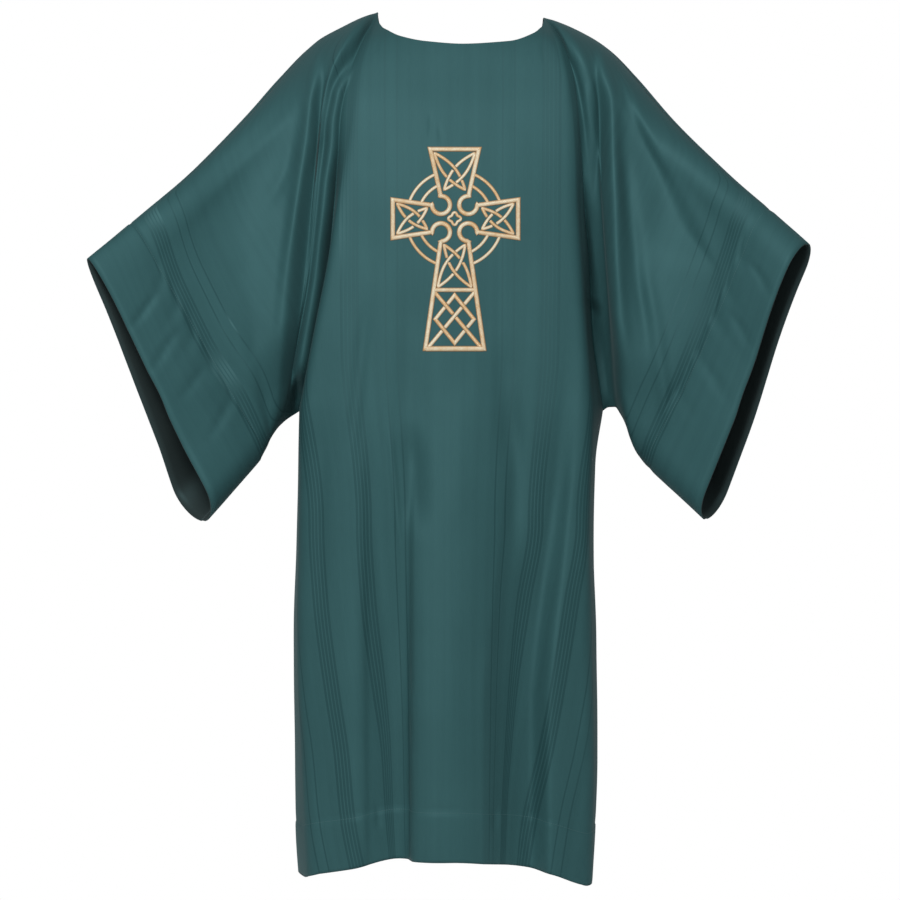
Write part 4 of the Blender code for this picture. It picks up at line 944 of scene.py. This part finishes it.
def gold_thread():
    """Gold satin stitch: threads lie across each band, with a painted highlight on its crown and painted
    shade between the threads; its edges are browner, partly their own tone and partly painted shade.
    """
    make = Shading("gold_thread", (0.72, 0.47, 0.21), 0.34)
    uv = make.add("UVMap", {}, uv_map="thread")
    edge = make.math("POWER", make.math("ABSOLUTE", make.add("SeparateXYZ", {0: uv}, 1)), 2.6)
    turns = make.math("MULTIPLY", make.add("SeparateXYZ", {0: uv}), 1 / THREAD_PITCH)
    ridge = make.math("SUBTRACT", 1.0, make.math("MULTIPLY", make.zigzag(turns), 2.0))
    strands = make.noise(make.stretch(uv, (900.0, 0.8, 1.0)), detail=3.0)
    colour = make.mix(strands, (0.68, 0.36, 0.13), (1.0, 0.75, 0.42))
    # Painted highlight on the crown, stronger by the threads' lie and in random patches.
    patch = make.math("MULTIPLY_ADD", make.noise(make.stretch(uv, (110.0, 0.6, 1.0))), 1.7, -0.80)
    painted_gleam = make.math("MULTIPLY_ADD", make.attribute("lie"), 1.2, patch, clamp=True)
    crown = make.math("SUBTRACT", 1.0, edge, clamp=True)
    colour = make.mix(make.math("MULTIPLY", painted_gleam, crown), colour, (1.0, 0.92, 0.69))
    # The edges darken to brown: partly their own browner tone, partly painted shade of the band's rounded
    # sides.
    shade = make.mix(make.math("MULTIPLY", edge, 0.95), colour, (0.30, 0.130, 0.040))
    # Painted shade in the grooves between the threads.
    groove = make.math("MULTIPLY", make.math("SUBTRACT", 1.0, ridge), 0.30)
    height = make.math("POWER", ridge, 0.6)
    make.surface({
        "Base Color": make.mix(groove, shade, (0.55, 0.30, 0.12)), "Metallic": 0.10, "Anisotropic": 0.4,
        "Sheen Weight": 0.12,
        "Normal": make.add("Bump", {"Strength": 0.55, "Distance": 0.00022, "Height": height})})
    return make.material


GREEN_CLOTH = woven_cloth()
GREEN_THREAD = stitch_thread()
GOLD_THREAD = gold_thread()


def painted_stripe_highlight(points):
    """Painted light on the satin stripes by place, for how they answer the soft front light: 0 darker than
    the ground, 1 a painted highlight brighter than it.
    """
    x, z = points[:, 0], points[:, 2]
    out = np.zeros(len(points))
    for strength, mid_x, mid_z, half_x, half_z in PAINTED_STRIPE_HIGHLIGHTS:
        out += strength * np.exp(-((x - mid_x) / half_x) ** 2 - ((z - mid_z) / half_z) ** 2)
    # A faint painted highlight over the whole chest, and a stronger one in the folds beside it.
    chest = ease((0.17 - np.abs(x)) / 0.02) * ease((z + 0.70) / 0.15)
    folds = np.exp(-((np.abs(x - 0.01) - 0.188) / 0.022) ** 2) * ease((z + 0.42) / 0.10)
    folds = folds * ease((-0.09 - z) / 0.04)
    return np.clip(out + CHEST_PAINTED_HIGHLIGHT * chest + FOLD_PAINTED_HIGHLIGHT * folds, 0, 1)


# ---------------------------------------------------------------- build the panels
PANELS = {name: panel(name) for name in ("front", "back")}
PANELS["front"]["points"][:, 1] -= slack_relief(PANELS["front"]["points"]) * (1 - PANELS["front"]["seam"])
NORMALS = shared_normals(PANELS)
for layer in ("front", "back"):
    dress(layer, PANELS[layer], NORMALS[layer])
NORMALS = shared_normals(PANELS)
for layer in ("front", "back"):
    points, faces, grain = panel_shell(PANELS[layer], NORMALS[layer])
    cloth = make_mesh(layer + "_cloth", points, faces, grain, "grain", GREEN_CLOTH)
    # The "satin" values are the stripes' painted highlight.
    store(cloth, "satin", painted_stripe_highlight(points))
    store(cloth, "reverse", np.arange(len(points)) >= len(points) // 2)
    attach(cloth, "root")
    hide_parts(layer)


# ---------------------------------------------------------------- hem stitching
STITCH_PITCH = 0.0036    # from one stitch to the next
STITCH_LONG = 0.0028
STITCH_WIDE = 0.0007
STITCH_HIGH = 0.00045
STITCH_SUNK = 0.00015    # how deep its edge lies in the cloth


def stitches(name, lines):
    """Row of sewn stitches: small domes laid end to end along lines of points on the cloth."""
    u = np.linspace(-1, 1, 6)
    v = np.linspace(-1, 1, 5)
    dome = np.sqrt(np.clip(1 - u[:, None] ** 4, 0, 1)) * np.sqrt(np.clip(1 - v ** 2, 0, 1))
    points = []
    for line, out in lines:
        gap = np.linalg.norm(np.diff(line, axis=0), axis=1)
        at = np.concatenate([[0], gap.cumsum()])
        mids = np.arange(STITCH_PITCH, at[-1] - STITCH_PITCH, STITCH_PITCH)
        middle, ahead, normal = (np.stack([np.interp(places, at, values[:, k]) for k in range(3)], -1)
                                 for places, values in ((mids, line), (mids + 0.001, line), (mids, out)))
        normal = unit(normal)
        along = unit(ahead - middle)
        side = np.cross(normal, along)
        grid = (middle[:, None, None] + along[:, None, None] * u[:, None, None] * STITCH_LONG / 2
                + side[:, None, None] * v[:, None] * STITCH_WIDE / 2 * np.sqrt(1 - u[:, None, None] ** 6)
                + normal[:, None, None] * (dome[..., None] * STITCH_HIGH - STITCH_SUNK))
        points.append(grid.reshape(-1, 30, 3))
    points = np.concatenate(points)
    quad = np.roll(corners(np.arange(30).reshape(6, 5)).reshape(-1, 4), -1, 1)
    faces = (np.arange(len(points))[:, None, None] * 30 + quad).reshape(-1, 4)
    uv = np.zeros((len(faces), 4, 2))
    row = make_mesh(name, points.reshape(-1, 3), faces, uv, "stitch", GREEN_THREAD)
    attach(row, "root")
    return row


def hem_lines(layer):
    """Lines along a panel's foot and cuff hems, with the cloth's normals there."""
    p = PANELS[layer]
    cols = len(body_columns())
    falls = len(FALL)
    row = falls + int(np.argmin(np.abs(skirt_falls()[1:] - (1 - HEM_DEPTH / SKIRT))))
    ids = row * cols + np.arange(cols)
    lines = [(p["points"][ids], NORMALS[layer][ids])]
    start = (falls + len(skirt_falls()) - 1) * cols
    for side in ("right", "left"):
        at = sleeve_places()
        wide = len(at) - 1
        col = int(np.argmin(np.abs(at - STITCH_AT[side]))) - 1
        ids = start + np.arange(4, falls - 3) * wide + col
        lines.append((p["points"][ids], NORMALS[layer][ids]))
        start += falls * wide
    return lines


STITCHES = {layer: stitches(layer + "_hem_stitches", hem_lines(layer)) for layer in ("front", "back")}

# ---------------------------------------------------------------- laid gold cross
# The cross stands on its own sizes about its middle: flared arms, round notches between them, a
# double ring behind them, crossed pointed loops in the arms, and a lozenge laced with a saltire.
CROSS_X = 0.0067         # the cross's middle
CROSS_Z = -0.3092
STEP = 0.0011            # between the points of a line
# Bands: their width and height.
FRAME = (0.0072, 0.0013)
BAR = (0.0066, 0.0012)
FOOT_EDGE = (BAR[0] + 0.0016, 0.0014)
RING = (0.0048, 0.0010)
LOOP = (0.0049, 0.0010)
PLAIT = (0.0060, 0.0010)
CENTRE = (0.0044, 0.0010)
RINGS = (0.0700, 0.0535)  # radii
NOTCH = 0.0130           # radius of the round notches
NOTCH_AT = 0.0197        # their middles, out and up
# An arm: its turn in degrees, reach, half width there, root, half width there.
ARM_TABLE = (
    (90, 0.1010, 0.0352, 0.0345, 0.0205),
    (0, 0.0920, 0.0276, 0.0335, 0.0195),
    (-90, 0.1880, 0.0425, 0.0325, 0.0200),
    (180, 0.0895, 0.0276, 0.0335, 0.0195),
)
FOOT_BAR = 0.1030        # the bar across the long arm, above the lozenge
# A pair of loops: its turn, inner end, half width there, outer end, half width there, bulge.
LOOPS = (
    (90, 0.0420, 0.0150, 0.0950, 0.0290, 0.0085),
    (0, 0.0400, 0.0150, 0.0850, 0.0215, 0.0075),
    (-90, 0.0380, 0.0152, 0.0985, 0.0240, 0.0090),
    (180, 0.0400, 0.0150, 0.0830, 0.0215, 0.0075),
)
LOZENGE = (0.0280, 0.1105, 0.1800)  # half width, top, low
SALTIRE = (0.0290, 0.1060, 0.0385, 0.1865)  # upper ends, lower ends
CENTRE_REACH = (0.0090, 0.0060)  # points and hollows of the middle's ring
MEET = 0.0034            # bands closer than this cross
SAME = 0.0045            # crossings closer than this are one
OVER = 0.0007            # rise of a band where it passes over another
SUNK = 0.0010            # depth of a band where it passes under, through the cloth


def turned(points, turn):
    """Points (out, side) turned to a direction in degrees."""
    c = math.cos(math.radians(turn))
    s = math.sin(math.radians(turn))
    return points @ np.array([[c, s], [-s, c]])


def arc(middle, radius, start, end):
    """Points of an arc, in degrees, about a millimetre apart."""
    steps = max(4, int(abs(math.radians(end - start)) * radius / STEP))
    t = np.radians(np.linspace(start, end, steps + 1))
    return np.stack([middle[0] + radius * np.cos(t), middle[1] + radius * np.sin(t)], -1)


def even_steps(points, closed=False):
    """The same line with points a step apart; corners keep theirs."""
    if closed:
        points = np.concatenate([points, points[:1]])
    out = []
    for p, q in zip(points, points[1:]):
        count = max(1, int(math.dist(p, q) / STEP))
        out.append(p + (q - p) * np.arange(count)[:, None] / count)
    if not closed:
        out.append(points[-1:])
    return np.concatenate(out)


def arm_half(arm, reach):
    """Half width of an arm at a distance from the middle."""
    return arm[4] + (reach - arm[3]) * (arm[2] - arm[4]) / (arm[1] - arm[3])


def crossings(points, others, known):
    """Lift of a band where it crosses others: 1 over, -1 under, in turn or against the known marks."""
    near = np.full(len(points), 9.0)
    for other in others:
        gap = np.linalg.norm(points[:, None] - other[None, ::2], axis=2).min(1)
        near = np.minimum(near, gap)
    close = np.append(near < MEET, False)
    lift = np.zeros(len(points))
    mark = -1
    start = None
    for k in range(len(close)):
        if close[k] and start is None:
            start = k
        if not close[k] and start is not None:
            middle = points[(start + k) // 2]
            met = [-m for place, m in known if math.dist(place, middle) < SAME]
            mark = met[0] if met else -mark
            if not met:
                known.append((middle, mark))
            lift[start:k] = mark
            start = None
    kernel = np.exp(-(np.arange(-4, 5) / 1.1) ** 2)
    return np.convolve(np.pad(lift, 4, "wrap"), kernel / kernel.sum(), "valid")


def outline():
    """The cross's closed edge: each arm's straight sides and end, then the round notch beside it."""
    line = []
    for turn, reach, half_out, root, half_in in ARM_TABLE:
        side = np.array([(root, half_in), (reach, half_out), (reach, -half_out), (root, -half_in)])
        line.append(turned(side, turn))
        after = math.radians(turn - 45)
        middle = (math.copysign(NOTCH_AT, math.cos(after)), math.copysign(NOTCH_AT, math.sin(after)))
        line.append(arc(middle, NOTCH, turn - 8, turn - 8 + 286))
    return even_steps(np.concatenate(line), True)


def ring_part(radius, arm, other):
    """The arc of a ring that shows between two arms, a little into each."""
    ends = []
    for side, way in ((arm, -1), (other, 1)):
        half = arm_half(side, radius)
        half = arm_half(side, math.sqrt(radius ** 2 - half ** 2)) + 0.001
        ends.append(side[0] + way * math.degrees(math.asin(half / radius)))
    return arc((0, 0), radius, ends[0], ends[1] if ends[1] < ends[0] else ends[1] - 360)


def pointed_loop(side, turn, inner, inner_half, outer, outer_half, wide):
    """Closed loop across an arm: both its edges bulge from a slanting line by a power of a sine."""
    start = np.array((inner, side * inner_half))
    along = np.array((outer, -side * outer_half)) - start
    out = np.array((-along[1], along[0])) / np.hypot(*along)
    share = np.concatenate([np.linspace(0, 1, 60)[:-1], np.linspace(1, 0, 60)[:-1]])
    bulge = np.repeat([1, -1], 59) * wide * np.sin(math.pi * share) ** 0.9
    return even_steps(turned(start + along * share[:, None] + out * bulge[:, None], turn), True)


def plaited(lines):
    """Lines that pass over and under each other in turn, each with its lift."""
    known = []
    return [(line, crossings(line, [p for i, p in enumerate(lines) if i != k], known))
            for k, line in enumerate(lines)]


def laid_bands():
    """Every band of the cross: width and height, whether it closes, its points and its lift."""
    bands = [(FRAME, True, outline(), [0.5])]
    bands += [(RING, False, ring_part(radius, arm, ARM_TABLE[(k + 1) % 4]), [0.0])
              for radius in RINGS for k, arm in enumerate(ARM_TABLE)]
    for row in LOOPS:
        bands += [(LOOP, True, *p) for p in plaited([pointed_loop(side, *row) for side in (1, -1)])]
    foot = ARM_TABLE[2]
    for size, half, down, lift in ((BAR, arm_half(foot, FOOT_BAR), FOOT_BAR, 0.3),
                                   (FOOT_EDGE, foot[2] - 0.001, foot[1], 0.5)):
        bands.append((size, False, even_steps(np.array([(-half, -down), (half, -down)])), [lift]))
    wide, top, low = LOZENGE
    middle = -(top + low) / 2
    plait = [even_steps(np.array([(0, -top), (wide, middle), (0, -low), (-wide, middle)]), True)]
    for side in (1, -1):
        ends = [(side * SALTIRE[0], -SALTIRE[1]), (-side * SALTIRE[2], -SALTIRE[3])]
        plait.append(even_steps(np.array(ends)))
    bands += [(PLAIT, k == 0, *p) for k, p in enumerate(plaited(plait))]
    t = np.radians(np.linspace(0, 360, 61)[:-1])
    reach = CENTRE_REACH[1] + (CENTRE_REACH[0] - CENTRE_REACH[1]) * (0.5 + 0.5 * np.cos(4 * t))
    ring = np.stack([reach * np.cos(t), reach * np.sin(t)], -1)
    return bands + [(CENTRE, True, even_steps(ring, True), [0.0])]


def chest_depth(x, z):
    """Depth of the dressed chest at places on it, from the panel's own rows and columns."""
    cols = len(body_columns())
    points = PANELS["front"]["points"][:(len(FALL) + len(skirt_falls()) - 1) * cols].reshape(-1, cols, 3)
    edge = WALL_COLUMNS + CORNER_COLUMNS
    flat = points[8:len(FALL), edge:cols - edge].reshape(-1, 3)
    out = np.zeros(x.shape)
    for k in range(0, len(x), 2000):
        dx = flat[None, :, 0] - x[k:k + 2000, None]
        dz = flat[None, :, 2] - z[k:k + 2000, None]
        weight = 1 / (dx ** 2 + dz ** 2 + 1e-6) ** 2
        out[k:k + 2000] = (weight * flat[None, :, 1]).sum(1) / weight.sum(1)
    return out


def band_mesh(bands):
    """Crowned strips along every band: an arched section carried along, closed underneath."""
    section = np.linspace(-1, 1, 9)
    arch = np.clip(1 - section ** 2, 0, 1) ** 0.55
    all_points, all_faces, all_uv, all_lie = [], [], [], []
    start = 0
    for (wide, high), closed, line, lift in bands:
        n = len(line)
        lift = np.resize(lift, n)
        before = np.roll(line, 1, 0)
        after = np.roll(line, -1, 0)
        if not closed:
            before[0] = 2 * line[0] - line[1]
            after[-1] = 2 * line[-1] - line[-2]
        ahead = unit(after - line)
        along = unit(unit(line - before) + ahead)
        bend = (along * ahead).sum(1)
        mitre = np.where(bend < 0.6, 1.0, 1 / np.maximum(bend, 0.6))
        side = np.stack([-along[:, 1], along[:, 0]], -1) * mitre[:, None]
        place = line[:, None] + side[:, None] * section[:, None] * wide / 2
        x = CROSS_X + place[..., 0]
        z = CROSS_Z + place[..., 1]
        left, mid, right = (chest_depth(x[:, k], z[:, k]) for k in (0, 4, 8))
        tilt = (right - left)[:, None] * section / 2
        sunk = np.clip(-lift, 0, 1)[:, None]
        y = mid[:, None] + tilt + SUNK * sunk - 0.0002
        top = np.stack([x, y - arch * (high * (1 - sunk) + OVER * np.maximum(lift, 0)[:, None]), z], -1)
        under = top.copy()
        under[..., 1] = y + 0.0005
        ring = np.concatenate([top, under[:, ::-1]], 1)
        size = ring.shape[1]
        ids = start + np.arange(n * size).reshape(n, size)
        length = np.concatenate([[0], np.linalg.norm(np.diff(line, axis=0), axis=1).cumsum()])
        across = np.concatenate([section, section[::-1]])
        uv = np.stack([np.broadcast_to(length[:, None], ids.shape),
                       np.broadcast_to(across, ids.shape)], -1)
        if closed:
            ids = np.concatenate([ids, ids[:1]])
            last = uv[:1].copy()
            last[..., 0] = length[-1] + math.dist(line[0], line[-1])
            uv = np.concatenate([uv, last])
        all_points.append(ring.reshape(-1, 3))
        # The lie of a band's threads, from its direction: it sets where the gold gets its painted
        # highlight.
        all_lie.append(np.repeat(0.5 + along[:, 0] * along[:, 1], size))
        all_faces.append(corners(np.concatenate([ids, ids[:, :1]], 1)).reshape(-1, 4))
        all_uv.append(corners(np.concatenate([uv, uv[:, :1]], 1)).reshape(-1, 4, 2))
        start += n * size
        if not closed:
            for end, flip in ((ids[0], False), (ids[-1], True)):
                cap = np.stack([end[:8], end[1:9], end[9:17][::-1], end[10:18][::-1]], -1)
                all_faces.append(cap[:, ::-1] if flip else cap)
                all_uv.append(np.zeros((8, 4, 2)))
    return [np.concatenate(part) for part in (all_points, all_faces, all_uv, all_lie)]


BANDS_LAID = laid_bands()
for bands, name, node in ((BANDS_LAID[:-1], "gold_cross", "cross"),
                          (BANDS_LAID[-1:], "gold_cross_centre", "cross_centre")):
    points, faces, uv, lie = band_mesh(bands)
    piece = make_mesh(name, points, faces, uv, "thread", GOLD_THREAD)
    store(piece, "lie", lie)
    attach(piece, "root")
    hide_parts(node)


# ---------------------------------------------------------------- floor, light and camera
def pale_floor():
    """Plain painted floor with a faint mottle."""
    make = Shading("pale_floor", (0.86, 0.86, 0.86), 0.7)
    mottle = make.noise(None, 3.0)
    make.surface({"Base Color": make.mix(mottle, (0.8342, 0.8342, 0.8342), (0.86, 0.86, 0.86))})
    return make.material


FLOOR = 0.7              # half its width
FLOOR_Z = -1.42
square = np.array([(x * FLOOR, y * FLOOR, FLOOR_Z) for x, y in ((-1, -1), (1, -1), (1, 1), (-1, 1))])
floor = make_mesh("floor", square, np.array([[0, 1, 2, 3]]), np.zeros((1, 4, 2)), "floor", pale_floor(),
                  smooth=False)

world = bpy.data.worlds.new("soft_room")
world.use_nodes = True
tree = world.node_tree
soft = tree.nodes["Background"]
white = tree.nodes.new("ShaderNodeBackground")
soft.inputs["Color"].default_value = white.inputs["Color"].default_value = (1, 1, 1, 1)
soft.inputs["Strength"].default_value = 0.25
seen = tree.nodes.new("ShaderNodeLightPath")
blend = tree.nodes.new("ShaderNodeMixShader")
for k, socket in enumerate((seen.outputs["Is Camera Ray"], soft.outputs[0], white.outputs[0])):
    tree.links.new(socket, blend.inputs[k])
tree.links.new(blend.outputs[0], tree.nodes["World Output"].inputs["Surface"])
bpy.context.scene.world = world


def area_light(name, place, aim, size, power):
    """Soft square light at a place, turned to face a point."""
    data = bpy.data.lights.new(name, "AREA")
    data.shape = "SQUARE"
    data.size = size
    data.energy = power
    light = bpy.data.objects.new(name, data)
    light.location = place
    light.rotation_euler = (Vector(aim) - Vector(place)).to_track_quat("-Z", "Y").to_euler()
    bpy.context.scene.collection.objects.link(light)
    return light


area_light("key", (-0.60, -3.35, 0.80), (0.0, 0.0, -0.6), 1.0, 78)
area_light("fill", (1.0, -3.4, 0.1), (0.0, 0.0, -0.6), 1.4, 5)
# The light behind makes no gloss, which would speckle the sleeves' edges.
area_light("behind", (0.2, 3.4, 0.1), (0.0, 0.0, -0.6), 1.6, 48).visible_glossy = False

bpy.context.scene.view_settings.view_transform = "Standard"

SENSOR = 36.0
SEEN_FROM = 4.44         # from the camera to the chest
SEEN_WIDE = 1.323        # width of the view there
camera_data = bpy.data.cameras.new("camera")
camera_data.lens = SENSOR * SEEN_FROM / SEEN_WIDE
camera_data.sensor_width = SENSOR
camera_data.clip_start = 0.05
camera_data.clip_end = 30.0
camera = bpy.data.objects.new("camera", camera_data)
camera.location = (0.0, -4.5, EYE_Z)
camera.rotation_euler = (math.radians(90), 0.0, 0.0)
bpy.context.scene.collection.objects.link(camera)
bpy.context.scene.camera = camera
